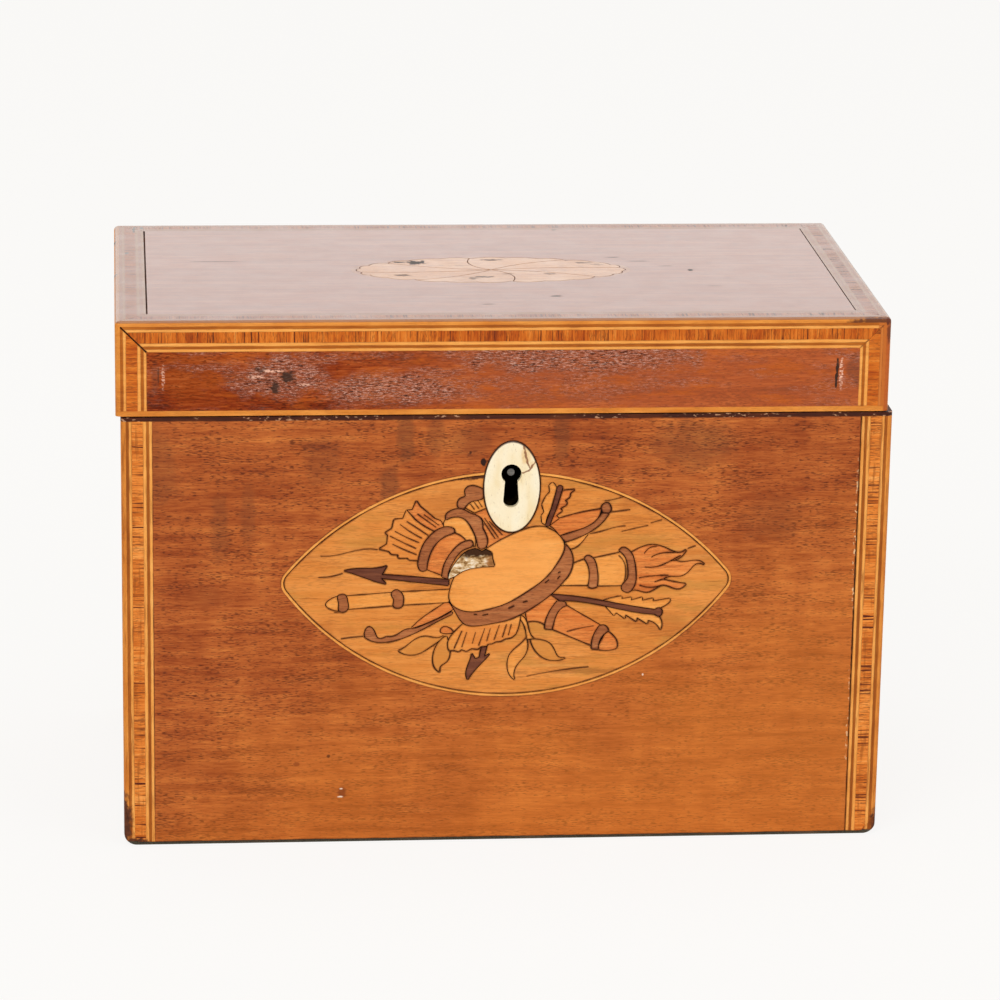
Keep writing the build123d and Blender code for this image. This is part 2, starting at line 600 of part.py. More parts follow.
LONG_LEAF = shape(
    curve((4.7, -13.7), (2.8, -15.8), (0.8, -17.9), (0.2, -20.4), (0.7, -23), (2, -24.5)),
    curve((2, -24.5), (1.8, -22.4), (2.8, -20.2), (4.3, -18.4), (5.1, -16), (4.7, -13.7)),
)
RIGHT_LEAF = shape(
    curve((5.8, -13.9), (8, -14.2), (10.2, -14.9), (11.7, -16.7), (12.6, -18.5), (14.6, -19)),
    curve((14.6, -19), (11.8, -19.6), (9, -18.8), (7.2, -17.1), (5.8, -13.9)),
)
GROUND_LINES = kerfs(
    FINE_KERF,
    ((-46.5, 8.2), (-40, 9), (-35.5, 9.9), (-32.4, 9.7)), ((-47, 2.7), (-43, 3.1), (-41, 3.7)),
    ((-41.4, -13.3), (-38, -12.9), (-35.8, -12.7)), ((20, 13.3), (22.6, 13.8), (24.6, 14.4), (29, 15.2)),
    ((28, 13.8), (31, 14.5), (34.6, 15.3)), ((35.2, 15.9), (38, 16.7)),
    ((5, -23.7), (12, -22.4), (20.5, -21.4)),
    ((25.2, 18.8), (30, 19.4)), ((23.6, 21.7), (26, 22.1), (28.4, 22.8)), ((-43, -6.4), (-40.6, -6.2)),
    ((44.6, 9.2), (46.6, 9.9)), ((24, -4), (27.6, -2.9)),
)
# The pieces of the trophy from the top one down: each hides what lies under it
TROPHY = [
    ("filler", FILLER, []),
    ("light", DRUM_HEAD, []),
    ("red", DRUM_SHELL, DRUM_LACING),
    ("red", TORCH_RING_2, []),
    ("red", TORCH_RING_1, []),
    ("light", TORCH_TUBE, TORCH_GLINT),
    ("light", TORCH_STUB, []),
    ("orange", FLAMES, FLAME_LINES),
    ("red", QUIVER_BAND, []),
    ("red", QUIVER_MOUTH, []),
    ("orange", QUIVER_BODY, []),
    ("dark", LEFT_ARROW, []),
    ("light", FEATHERS_LOWER, FEATHER_LINES),
    ("orange", FEATHERS_UPPER, FEATHER_LINES),
    ("red", HORN_TUBE, []),
    ("light", HORN_BELL, []),
    ("red", SCROLL, []),
    ("light", PIPES_TOP, PIPE_LINES),
    ("orange", PIPES, PIPE_LINES),
    ("dark", FLETCH_SHAFT, []),
    ("orange", FLETCH_RIGHT, []),
    ("light", FLETCH_LEFT, []),
    ("orange", STICK_BACK, []),
    ("red", STICK, []),
    ("red", STICK_KNOB, []),
    ("light", STICK_LEAF, []),
    ("dark", RIGHT_ARROW, []),
    ("light", ARROW_FLETCH_TOP, []),
    ("light", ARROW_FLETCH_LOW, []),
    ("red", LOW_QUIVER_RING, []),
    ("red", LOW_QUIVER_BAND, []),
    ("orange", LOW_QUIVER, LOW_QUIVER_LINE),
    ("orange", LOW_QUIVER_CAP, []),
    ("orange", LOW_QUIVER_NECK, []),
    ("red", STAFF_RING_1, []),
    ("red", STAFF_RING_2, []),
    ("light", STAFF_1, []),
    ("light", STAFF_2, []),
    ("light", STAFF_TIP, []),
    ("light", FRINGE, FRINGE_STRIPES),
    ("dark", LOW_ARROW, []),
    ("orange", BOW_UPPER, []),
    ("red", BOW_LOWER, []),
    ("orange", LEAF_KNOT, []),
    ("light", LEFT_LEAF, []),
    ("light", DOWN_LEAF, []),
    ("light", LEAF_STEM, []),
    ("light", LONG_LEAF, []),
    ("light", RIGHT_LEAF, []),
]


def large_enough(faces):
    """The pieces of veneer that a maker would lay, without the crumbs between two saw cuts."""
    return [face for face in faces if face.area > SMALLEST_PIECE]


def cut_flat(face, cutters):
    """Takes off a flat outline the cutters, each with its box, that lie within a kerf of it."""
    close = reached(face, cutters, KERF)
    return face.cut(*close) if close else face


def outline_kerf(face):
    """The saw cut round a piece, as one band along each edge of its outline."""
    return [band for edge in face.edges() for band in trace([edge], 2 * KERF).faces()]


def pointed_oval(inset=0.0):
    """The front oval, or the same lying inside it: an upper and a lower arc whose tips are rounded."""
    radius_1, radius_2 = [(OVAL_HALF_LENGTH ** 2 + rise ** 2) / (2 * rise) for rise in (OVAL_RISE, OVAL_FALL)]
    middle_1, middle_2 = OVAL_RISE - radius_1, radius_2 - OVAL_FALL
    radius_1 -= inset
    radius_2 -= inset
    y = (radius_1 ** 2 - radius_2 ** 2 - middle_1 ** 2 + middle_2 ** 2) / (2 * (middle_2 - middle_1))
    x = sqrt(radius_1 ** 2 - (y - middle_1) ** 2)
    upper = ThreePointArc((-x, y), (0, middle_1 + radius_1), (x, y))
    lower = ThreePointArc((x, y), (0, middle_2 - radius_2), (-x, y))
    sharp = make_face([upper, lower])
    return Pos(OVAL_X, OVAL_Z) * fillet(sharp.vertices(), OVAL_TIP_ROUND - inset)


def keyhole(room=0.0):
    """A round head over a slot that widens to a rounded foot."""
    head = Circle(KEYHOLE_R + room)
    top, foot, round_r = KEYHOLE_WAIST / 2 + room, KEYHOLE_FOOT / 2 + room, KEYHOLE_FOOT_R + room
    bottom = -KEYHOLE_DROP - room
    slot = make_face([Polyline((-top, 0), (-foot, bottom), (foot, bottom), (top, 0), (-top, 0))])
    slot = fillet(slot.vertices().sort_by(Axis.Y)[:2], round_r)
    return Pos(KEYHOLE_X, KEYHOLE_Z) * (head + slot)


def escutcheon_oval(grow=0.0):
    oval = Ellipse(ESCUTCHEON_WIDTH / 2 + grow, ESCUTCHEON_HEIGHT / 2 + grow)
    return Pos(ESCUTCHEON_X, ESCUTCHEON_Z) * oval


def trophy_pieces():
    """The visible faces of the trophy, by wood, and the ground that is left round them."""
    field = pointed_oval(STRINGING + KERF)
    place = Pos(TROPHY_X, TROPHY_Z)
    by_wood = {"filler": [], "light": [], "orange": [], "red": [], "dark": []}
    taken = [with_box(face) for face in escutcheon_oval(ESCUTCHEON_FIT).faces()]
    for wood, outline, lines in TROPHY:
        face = place * outline
        fine = [with_box(place * line) for line in lines]
        by_wood[wood] += (cut_flat(face, taken + fine) & field).faces()
        taken += [with_box(tool) for tool in face.faces() + outline_kerf(face)]
    ground = cut_flat(field, taken + [with_box(place * line) for line in GROUND_LINES])
    return {wood: large_enough(faces) for wood, faces in by_wood.items()}, large_enough(ground.faces())


def front_marquetry():
    """The oval of the front, laid into the veneer: line, glue bed, ground and trophy."""
    plane = face_plane("front")
    hole = escutcheon_oval(ESCUTCHEON_FIT)
    outer = pointed_oval()
    inner = pointed_oval(STRINGING)
    by_wood, ground = trophy_pieces()
    pieces = {"medallion_stringing": lay(plane, outer - inner - hole, VENEER)}
    pieces["marquetry_bed"] = lay(plane, inner - hole, VENEER - MARQUETRY, MARQUETRY)
    pieces["medallion_ground"] = lay_all(plane, ground)
    names = {"filler": "drum_filler", "light": "trophy_light_woods", "orange": "trophy_orange_woods"}
    names |= {"red": "trophy_red_woods", "dark": "trophy_dark_woods"}
    for wood, name in names.items():
        pieces[name] = lay_all(plane, by_wood[wood])
    return pieces, outer


def lid_oval_point(angle, reach, grow=0.0):
    """A point of the lid's oval at a share of the way from its centre to its rim."""
    share = LID_LEAF_MARGIN * reach
    half_length, half_width = LID_OVAL_HALF_LENGTH * share + grow, LID_OVAL_HALF_WIDTH * share + grow
    return half_length * cos(angle), half_width * sin(angle)


def lid_flower(grow=0.0):
    """The outline of all the leaves together: scallops, with a deeper notch between two leaves."""
    count = LID_LEAVES * LID_LEAF_WAVES
    valleys, scallops = [], []
    for index in range(count):
        depth = LID_LEAF_WAVE if index % LID_LEAF_WAVES else LID_LEAF_NOTCH
        valleys.append(lid_oval_point(LID_LEAF_START + index * 2 * pi / count, 1, grow - depth))
    for index in range(count):
        crest = lid_oval_point(LID_LEAF_START + (index + 0.5) * 2 * pi / count, 1, grow)
        scallops.append(ThreePointArc(valleys[index], crest, valleys[(index + 1) % count]))
    return make_face(scallops)


def lid_seams():
    """The curved saw cuts between the leaves, from the centre to the rim."""
    seams = []
    for index in range(LID_LEAVES):
        angle = LID_LEAF_START + index * 2 * pi / LID_LEAVES
        path = Spline((0, 0), lid_oval_point(angle + LID_LEAF_TURN, 0.5), lid_oval_point(angle, 1))
        seams += trace([path], KERF).faces()
    return seams


def lid_marquetry():
    """The oval of the lid: a thin ground with a ring of wavy leaves, in a glue bed of its own."""
    plane = face_plane("top", LID_SHIFT)
    place = Pos(LID_OVAL_X - LID_SHIFT, LID_OVAL_Y)
    oval = place * Ellipse(LID_OVAL_HALF_LENGTH, LID_OVAL_HALF_WIDTH)
    leaves = place * lid_flower().cut(*lid_seams())
    ground = oval - place * lid_flower(KERF)
    bed = lay(plane, oval, VENEER - MARQUETRY, MARQUETRY)
    return bed, lay(plane, ground, MARQUETRY), lay_all(plane, leaves.faces()), oval


# Cutters that shape the corners and the back edge

def back_groove(up):
    """The bevel along the back edge: the two bevels meet and stop the lid when it is open."""
    level, sign = (LID_BOTTOM, 1) if up else (BODY_TOP, -1)
    reach = 2 * HINGE_SET_IN
    rise = sign * reach * tan(radians(HINGE_OPEN / 2))
    corner, out = (HINGE_Y, level), HINGE_Y + reach
    profile = make_face([Polyline(corner, (out, level + rise), (out, level - sign * LID_GAP / 2),
                                  (HINGE_Y, level - sign * LID_GAP / 2), corner)])
    side = Plane(origin=(-WIDTH, 0, 0), x_dir=(0, 1, 0), z_dir=(1, 0, 0))
    return extrude(side * profile, 2 * WIDTH, dir=(1, 0, 0))


def knuckle_rooms():
    """The round recesses for the knuckles of both hinges."""
    rooms = []
    length = HINGE_LENGTH + 2 * LEAF_FIT
    for x in (-HINGE_X, HINGE_X):
        rooms.append(Pos(x, HINGE_Y, HINGE_Z) * Rot(0, 90, 0) * Cylinder(KNUCKLE_R + KNUCKLE_ROOM, length))
    return rooms


def worn_corner(side):
    """The rounding of one bottom end of the body: widest at the front corner, then fading along the side."""
    sections = []
    for y, r in ((-HALF_D - VENEER, WORN_ROUND), (-HALF_D + WORN_LENGTH, WORN_ROUND_END)):
        x, middle = side * HALF_W, r * (1 - 1 / sqrt(2))
        out = side * (HALF_W + VENEER)
        arc = ThreePointArc((side * (HALF_W - r), 0), (side * (HALF_W - middle), middle), (x, r))
        edges = [arc, Polyline((x, r), (out, r), (out, -VENEER), (side * (HALF_W - r), -VENEER),
                               (side * (HALF_W - r), 0))]
        plane = Plane(origin=(0, y, 0), x_dir=(1, 0, 0), z_dir=(0, -1, 0))
        sections.append(plane * make_face(edges))
    return loft(sections, ruled=True)


def chips():
    """Shallow breaks in the edging at the two bottom front corners."""
    left = [(-95.5, 11), (-94.4, 9.4), (-93.9, 7.6), (-93.1, 6.2), (-92.8, 3.6), (-91.9, 1.9), (-91.2, 0),
            (-95.5, 0)]
    right = [(95.5, 6.6), (94.7, 5.4), (93.9, 4.4), (93, 2.8), (91.8, 1.8), (91.2, 0), (95.5, 0)]
    plane = face_plane("front")
    outlines = [make_face([Polyline(*points, points[0])]) for points in (left, right)]
    return [lay(plane, outline, CHIP_DEPTH) for outline in outlines]


def body_envelope():
    """The body's outer form, with soft vertical corners."""
    solid = block((-HALF_W, HALF_W), (-HALF_D, HALF_D), (0, BODY_TOP))
    return fillet(solid.edges().filter_by(Axis.Z), ARRIS_ROUND)


def lid_envelope():
    """The lid's outer form, with soft top and vertical corners."""
    solid = block((-HALF_W, HALF_W), (-HALF_D, HALF_D), (LID_BOTTOM, LID_TOP))
    edges = solid.edges().filter_by(Axis.Z) + solid.faces().sort_by(Axis.Z)[-1].edges()
    return Pos(LID_SHIFT, 0, 0) * fillet(edges, ARRIS_ROUND)


def uprights(z_span):
    """The four square edgings of the vertical corners."""
    bars = []
    for side_x in (-1, 1):
        for side_y in (-1, 1):
            x_span = sorted((side_x * HALF_W, side_x * (HALF_W - EDGING)))
            y_span = sorted((side_y * HALF_D, side_y * (HALF_D - EDGING)))
            bars.append(block(x_span, y_span, z_span))
    return bars


# Screws and hinges

def screw(direction):
    """A countersunk screw with its head at the origin, pointing up or down."""
    head = Cone(SCREW_R, SCREW_HEAD_R, SCREW_HEAD)
    head = Pos(0, 0, -SCREW_HEAD / 2) * head
    shank = Pos(0, 0, -SCREW_LENGTH / 2) * Cylinder(SCREW_R, SCREW_LENGTH)
    slot = block((-SCREW_HEAD_R, SCREW_HEAD_R), (-SCREW_R / 4, SCREW_R / 4), (-SCREW_HEAD / 3, SCREW_HEAD))
    made = head + shank - slot
    return made if direction < 0 else Rot(180, 0, 0) * made


def screw_hole(direction):
    """The hole that such a screw fits."""
    head = Cone(SCREW_R + SCREW_FIT, SCREW_HEAD_R + SCREW_FIT, SCREW_HEAD)
    head = Pos(0, 0, -SCREW_HEAD / 2) * head
    length = SCREW_LENGTH + SCREW_FIT
    hole = head + Pos(0, 0, -length / 2) * Cylinder(SCREW_R + SCREW_FIT, length)
    return hole if direction < 0 else Rot(180, 0, 0) * hole


def hinge_screw_places():
    y = HINGE_Y - (KNUCKLE_R + KNUCKLE_ROOM + LEAF_WIDTH) / 2
    places = []
    for x in (-HINGE_X, HINGE_X):
        for index in range(HINGE_SCREWS):
            places.append((x + (index - (HINGE_SCREWS - 1) / 2) * HINGE_SCREW_SPACING, y))
    return places


def hinge_leaf(x, own, level, thick, tight):
    """One leaf with its own knuckles, which are every second one, starting at the first or the second."""
    inner_edge = HINGE_Y - KNUCKLE_R - KNUCKLE_ROOM
    z_span = sorted((level, level + thick))
    leaf = block(span(x, HINGE_LENGTH), (HINGE_Y - LEAF_WIDTH, inner_edge), z_span)
    pitch = HINGE_LENGTH / KNUCKLES
    for index in range(own, KNUCKLES, 2):
        middle = x - HINGE_LENGTH / 2 + pitch * (index + 0.5)
        length = pitch - KNUCKLE_GAP
        barrel = Pos(middle, HINGE_Y, HINGE_Z) * Rot(0, 90, 0) * Cylinder(KNUCKLE_R, length)
        leaf += barrel + block(span(middle, length), (inner_edge, HINGE_Y), z_span)
    bore = HINGE_PIN_R + (PIN_TIGHT_FIT if tight else PIN_RUNNING_FIT)
    return leaf - Pos(x, HINGE_Y, HINGE_Z) * Rot(0, 90, 0) * Cylinder(bore, 2 * HINGE_LENGTH)


def leaf_seat(x, level, thick):
    """The shallow recess of one leaf, open towards the back."""
    z_span = sorted((level, level + thick))
    return block(span(x, HINGE_LENGTH + 2 * LEAF_FIT), (HINGE_Y - LEAF_WIDTH - LEAF_FIT, HINGE_Y), z_span)


def hinges():
    """Both hinges: body leaves, lid leaves, pins and screws, and what they cut from the wood."""
    body_leaves, lid_leaves, pins = [], [], []
    body_cuts, lid_cuts = knuckle_rooms(), knuckle_rooms()
    for x in (-HINGE_X, HINGE_X):
        body_leaves.append(hinge_leaf(x, 0, BODY_TOP, -LEAF, True))
        lid_leaves.append(hinge_leaf(x, 1, LID_BOTTOM, LEAF, False))
        body_cuts.append(leaf_seat(x, BODY_TOP, -LEAF - LEAF_FIT))
        lid_cuts.append(leaf_seat(x, LID_BOTTOM, LEAF + LEAF_FIT))
        pin = Cylinder(HINGE_PIN_R, HINGE_LENGTH - 2 * KNUCKLE_GAP)
        pins.append(Pos(x, HINGE_Y, HINGE_Z) * Rot(0, 90, 0) * pin)
    body_holes = [Pos(x, y, BODY_TOP) * screw_hole(-1) for x, y in hinge_screw_places()]
    lid_holes = [Pos(x, y, LID_BOTTOM) * screw_hole(1) for x, y in hinge_screw_places()]
    body_screws = [Pos(x, y, BODY_TOP) * screw(-1) for x, y in hinge_screw_places()]
    lid_screws = [Pos(x, y, LID_BOTTOM) * screw(1) for x, y in hinge_screw_places()]
    body_leaves = trim(body_leaves, body_holes)
    lid_leaves = trim(lid_leaves, lid_holes)
    return {
        "body_leaves": body_leaves, "lid_leaves": lid_leaves, "pins": pins, "body_screws": body_screws,
        "lid_screws": lid_screws, "body_cuts": body_cuts + body_holes, "lid_cuts": lid_cuts + lid_holes,
    }


# Lock

def lock_case():
    """A brass box, open to the inside, hung on a selvedge with two slots for the staples."""
    x_span, z_span = span(KEYHOLE_X, LOCK_WIDTH), (LOCK_BOTTOM, BODY_TOP)
    y_span = (LOCK_FRONT_Y, LOCK_BACK_Y - LOCK_PLATE)
    case = block(x_span, y_span, z_span)
    hollow_x = (x_span[0] + LOCK_PLATE, x_span[1] - LOCK_PLATE)
    hollow_z = (LOCK_BOTTOM + LOCK_PLATE, BODY_TOP - SELVEDGE)
    case -= block(hollow_x, (LOCK_FRONT_Y + LOCK_PLATE, LOCK_BACK_Y), hollow_z)
    selvedge_y = (LOCK_BACK_Y - SELVEDGE_DEPTH, LOCK_BACK_Y)
    case += block(span(KEYHOLE_X, SELVEDGE_WIDTH), selvedge_y, (BODY_TOP - SELVEDGE, BODY_TOP))
    for x in staple_places():
        slot_x = span(x, STAPLE_WIDTH + 2 * STAPLE_ROOM)
        slot_y = span(STAPLE_Y, STAPLE_DEPTH + 2 * STAPLE_ROOM)
        case -= block(slot_x, slot_y, (BODY_TOP - 2 * SELVEDGE, BODY_TOP + SELVEDGE))
    seat_z = (LOCK_BOTTOM + LOCK_PLATE, bolt_bottom() - BOLT_SEAT_GAP)
    seat_y = (LOCK_FRONT_Y + LOCK_PLATE, LOCK_BACK_Y - LOCK_PLATE)
    seat_x = (bolt_start() + BOLT_LENGTH - BOLT_SEAT, x_span[1] - LOCK_PLATE)
    case += block(seat_x, seat_y, seat_z)
    plane = face_plane("front")
    case -= lay(plane, keyhole(KEY_ROOM), 2 * LOCK_DEPTH)
    for x in (-LOCK_SCREW_X, LOCK_SCREW_X):
        case -= Pos(KEYHOLE_X + x, STAPLE_Y, BODY_TOP) * screw_hole(-1)
    return case


def staple_places():
    return KEYHOLE_X - STAPLE_X, KEYHOLE_X + STAPLE_X


def bolt_bottom():
    return BOLT_Z - BOLT_BAR


def fingertips():
    return [x - STAPLE_WIDTH / 2 - FINGER_SHY for x in staple_places()]


def finger_length():
    return BOLT_THROW + FINGER_SHY / 2


def bolt_start():
    return fingertips()[0] - finger_length() - POST_WIDTH


def lock_cap():
    """The plate that closes the lock from the inside, with a hole for the drill pin."""
    plate = block(span(KEYHOLE_X, LOCK_WIDTH), (LOCK_BACK_Y - LOCK_PLATE, LOCK_BACK_Y),
                  (LOCK_BOTTOM, BODY_TOP - SELVEDGE))
    return plate - Pos(KEYHOLE_X, LOCK_BACK_Y, KEYHOLE_Z) * Rot(90, 0, 0) * Cylinder(
        DRILL_PIN_R + TENON_FIT, 4 * LOCK_PLATE)


def lock_drill_pin():
    pin = Rot(90, 0, 0) * Cylinder(DRILL_PIN_R, DRILL_PIN_LENGTH)
    return Pos(KEYHOLE_X, LOCK_BACK_Y - DRILL_PIN_LENGTH / 2, KEYHOLE_Z) * pin


def lock_bolt():
    """A sliding bar with a notch for the key and two posts, each with a finger towards its staple."""
    y_span = span(STAPLE_Y, BOLT_THICK)
    bolt = block((bolt_start(), bolt_start() + BOLT_LENGTH), y_span, (bolt_bottom(), BOLT_Z))
    top = FINGER_Z + FINGER_HEIGHT / 2
    for tip in fingertips():
        root = tip - finger_length()
        bolt += block((root - POST_WIDTH, root), y_span, (bolt_bottom(), top))
        bolt += block((root - POST_WIDTH, tip), span(STAPLE_Y, FINGER_THICK), span(FINGER_Z, FINGER_HEIGHT))
    notch_x = span(KEYHOLE_X, BOLT_NOTCH)
    return bolt - block(notch_x, y_span, (bolt_bottom(), bolt_bottom() + BOLT_NOTCH_DEPTH))


def lock_spring():
    """A bent leaf spring: it stands on the case's floor and presses on the bolt's underside."""
    x0 = KEYHOLE_X - LOCK_WIDTH / 2 + LOCK_PLATE
    top = bolt_bottom() - BOLT_SEAT_GAP
    low = LOCK_BOTTOM + LOCK_PLATE
    middle = x0 + SPRING_THICK / 2
    path = FilletPolyline((middle, low), (middle, top - SPRING_THICK / 2),
                          (x0 + SPRING_LENGTH, top - SPRING_THICK / 2),
                          radius=SPRING_BEND)
    strip = trace(path.edges(), SPRING_THICK)
    plane = Plane(origin=(0, STAPLE_Y - SPRING_WIDTH / 2, 0), x_dir=(1, 0, 0), z_dir=(0, -1, 0))
    return extrude(plane * strip, SPRING_WIDTH, dir=(0, 1, 0))


def link_plate():
    """The plate in the lid's front rail, with two staples that drop into the lock."""
    plate = block(span(KEYHOLE_X, LINK_WIDTH), span(LINK_Y, LINK_DEPTH),
                  (LID_BOTTOM, LID_BOTTOM + LINK_THICK))
    bottom = LID_BOTTOM - STAPLE_DROP
    for x in staple_places():
        x_span = span(x, STAPLE_WIDTH)
        plate += block(x_span, span(STAPLE_Y, STAPLE_DEPTH), (bottom, LID_BOTTOM + LINK_THICK / 2))
        eye_y = span(STAPLE_Y, STAPLE_DEPTH - 2 * STAPLE_WIRE)
        plate -= block(x_span, eye_y, (bottom + STAPLE_WIRE, LID_BOTTOM))
    for x in (-LINK_SCREW_X, LINK_SCREW_X):
        plate -= Pos(KEYHOLE_X + x, LINK_Y, LID_BOTTOM) * screw_hole(1)
    return plate


# Carcass and compartments

def boards(lock_cuts, hinge_cuts):
    """The five boards of the body, glued edge to edge."""
    out_x, out_y = HALF_W - VENEER, HALF_D - VENEER
    z_span = (BAIZE, BODY_TOP)
    rim_bars = frame_bar(HALF_W, HALF_D, EDGING, (BODY_TOP - RIM_STRIP, BODY_TOP))
    edging = uprights((BAIZE, BODY_TOP)) + [rim_bars]
    front = block((-out_x, out_x), (-out_y, -INNER_Y), z_span)
    back = block((-out_x, out_x), (INNER_Y, out_y), z_span)
    sides = [block((-out_x, -INNER_X), (-INNER_Y, INNER_Y), z_span),
             block((INNER_X, out_x), (-INNER_Y, INNER_Y), z_span)]
    return {
        "front_board": trim([front], edging + lock_cuts),
        "back_board": trim([back], edging + hinge_cuts),
        "side_boards": trim(sides, edging),
        "bottom_board": [block((-INNER_X, INNER_X), (-INNER_Y, INNER_Y), (BAIZE, FLOOR))],
    }


def lock_pockets():
    """What the lock takes out of the front board."""
    case = block(span(KEYHOLE_X, LOCK_WIDTH + 2 * LOCK_FIT), (LOCK_FRONT_Y - LOCK_FIT, LOCK_BACK_Y + VENEER),
                 (LOCK_BOTTOM - LOCK_FIT, BODY_TOP))
    selvedge = block(span(KEYHOLE_X, SELVEDGE_WIDTH + 2 * LOCK_FIT),
                     (LOCK_BACK_Y - SELVEDGE_DEPTH - LOCK_FIT, LOCK_BACK_Y),
                     (BODY_TOP - SELVEDGE - LOCK_FIT, BODY_TOP))
    hole = lay(face_plane("front"), keyhole(KEY_ROOM), WALL)
    seat = lay(face_plane("front"), escutcheon_oval(ESCUTCHEON_FIT), ESCUTCHEON_THICK - ESCUTCHEON_PROUD)
    screws = [Pos(KEYHOLE_X + x, STAPLE_Y, BODY_TOP) * screw_hole(-1) for x in (-LOCK_SCREW_X, LOCK_SCREW_X)]
    return [case, selvedge, hole, seat] + screws


def escutcheon():
    """A bone oval with a bevelled edge, pierced for the key."""
    plane = face_plane("front")
    plate = lay(plane, escutcheon_oval(), ESCUTCHEON_THICK, -ESCUTCHEON_PROUD)
    front_rim = plate.faces().sort_by(Axis.Y)[0].edges()
    plate = chamfer(front_rim, ESCUTCHEON_BEVEL)
    return plate - lay(plane, keyhole(), 2 * ESCUTCHEON_THICK, -ESCUTCHEON_THICK)


def compartment(side):
    """One compartment: four lining boards, foil, inner lid and knob."""
    x_span = sorted((side * PARTITION / 2, side * INNER_X))
    y_span = (-INNER_Y, INNER_Y)
    long_1 = block(x_span, (-INNER_Y, LINING - INNER_Y), (FLOOR, LEDGE))
    long_2 = block(x_span, (INNER_Y - LINING, INNER_Y), (FLOOR, LEDGE))
    short_y = (LINING - INNER_Y, INNER_Y - LINING)
    short_1 = block((x_span[0], x_span[0] + LINING), short_y, (FLOOR, LEDGE))
    short_2 = block((x_span[1] - LINING, x_span[1]), short_y, (FLOOR, LEDGE))
    foil_x, foil_y = (x_span[0] + LINING, x_span[1] - LINING), short_y
    foil = block(foil_x, foil_y, (FLOOR, LEDGE))
    foil -= block((foil_x[0] + FOIL, foil_x[1] - FOIL), (foil_y[0] + FOIL, foil_y[1] - FOIL),
                  (FLOOR + FOIL, LEDGE))
    middle = sum(x_span) / 2
    lid_x = (x_span[0] + INNER_LID_GAP, x_span[1] - INNER_LID_GAP)
    lid_y = (INNER_LID_GAP - INNER_Y, INNER_Y - INNER_LID_GAP)
    lid = block(lid_x, lid_y, (LEDGE, INNER_LID_TOP))
    tenon_hole = Cylinder(KNOB_TENON_R + TENON_FIT, KNOB_TENON_DEPTH)
    lid -= Pos(middle, 0, INNER_LID_TOP - KNOB_TENON_DEPTH / 2) * tenon_hole
    return {"linings": [long_1, long_2, short_1, short_2], "foil": foil, "lid": lid, "knob": knob(middle)}


def knob(x):
    """A turned knob: a flared foot, a neck and a ball, on a tenon."""
    ball_z = KNOB_HEIGHT - KNOB_BALL_R
    foot_z = KNOB_FOOT_R / 4
    neck_z = (ball_z + foot_z) / 2 - KNOB_NECK_R / 2
    join = sqrt(KNOB_BALL_R ** 2 - KNOB_NECK_R ** 2)
    outline = [
        Polyline((0, 0), (KNOB_FOOT_R, 0), (KNOB_FOOT_R, foot_z / 2)),
        Spline((KNOB_FOOT_R, foot_z / 2), (KNOB_NECK_R, neck_z), tangents=[(-1, 1), (0, 1)]),
        Line((KNOB_NECK_R, neck_z), (KNOB_NECK_R, ball_z - join)),
        ThreePointArc((KNOB_NECK_R, ball_z - join), (KNOB_BALL_R, ball_z), (0, KNOB_HEIGHT)),
        Line((0, KNOB_HEIGHT), (0, 0)),
    ]
    turned = revolve(Plane.XZ * make_face(outline), Axis.Z)
    tenon = Pos(0, 0, -KNOB_TENON_DEPTH / 2) * Cylinder(KNOB_TENON_R, KNOB_TENON_DEPTH)
    return Pos(x, 0, INNER_LID_TOP) * (turned + tenon)


def body_skin():
    """Veneers, borders and edging of the body, with the marquetry of the front."""
    box = (EDGING - HALF_W, HALF_W - EDGING, BAIZE, BODY_TOP - RIM_STRIP)
    side_box = (EDGING - HALF_D, HALF_D - EDGING, BAIZE, BODY_TOP - RIM_STRIP)
    strips, field = border(face_plane("front"), box, ("left", "right"))
    marquetry, oval = front_marquetry()
    shrunk = rectangle((field[0], field[1] - FIELD_GAP, field[2], field[3]))
    front = lay(face_plane("front"), shrunk - oval - escutcheon_oval(ESCUTCHEON_FIT), VENEER)
    sides = []
    for side in ("left", "right"):
        more, side_field = border(face_plane(side), side_box, ("left", "right"))
        sides.append(lay(face_plane(side), rectangle(side_field), VENEER))
        for wood in strips:
            strips[wood] += more[wood]
    envelope = body_envelope()
    pieces = {
        "front_veneer": [front], "side_veneers": sides,
        "back_veneer": [lay(face_plane("back"), rectangle(box), VENEER)],
        "body_light_lines": strips["light"], "body_dark_lines": strips["dark"],
        "body_crossbanding": strips["cross"],
        "body_corner_edging": [bar & envelope for bar in uprights((BAIZE, BODY_TOP - RIM_STRIP))],
        "rim_edging": [frame_bar(HALF_W, HALF_D, EDGING, (BODY_TOP - RIM_STRIP, BODY_TOP)) & envelope],
    }
    return pieces | {name: [piece] for name, piece in marquetry.items()}


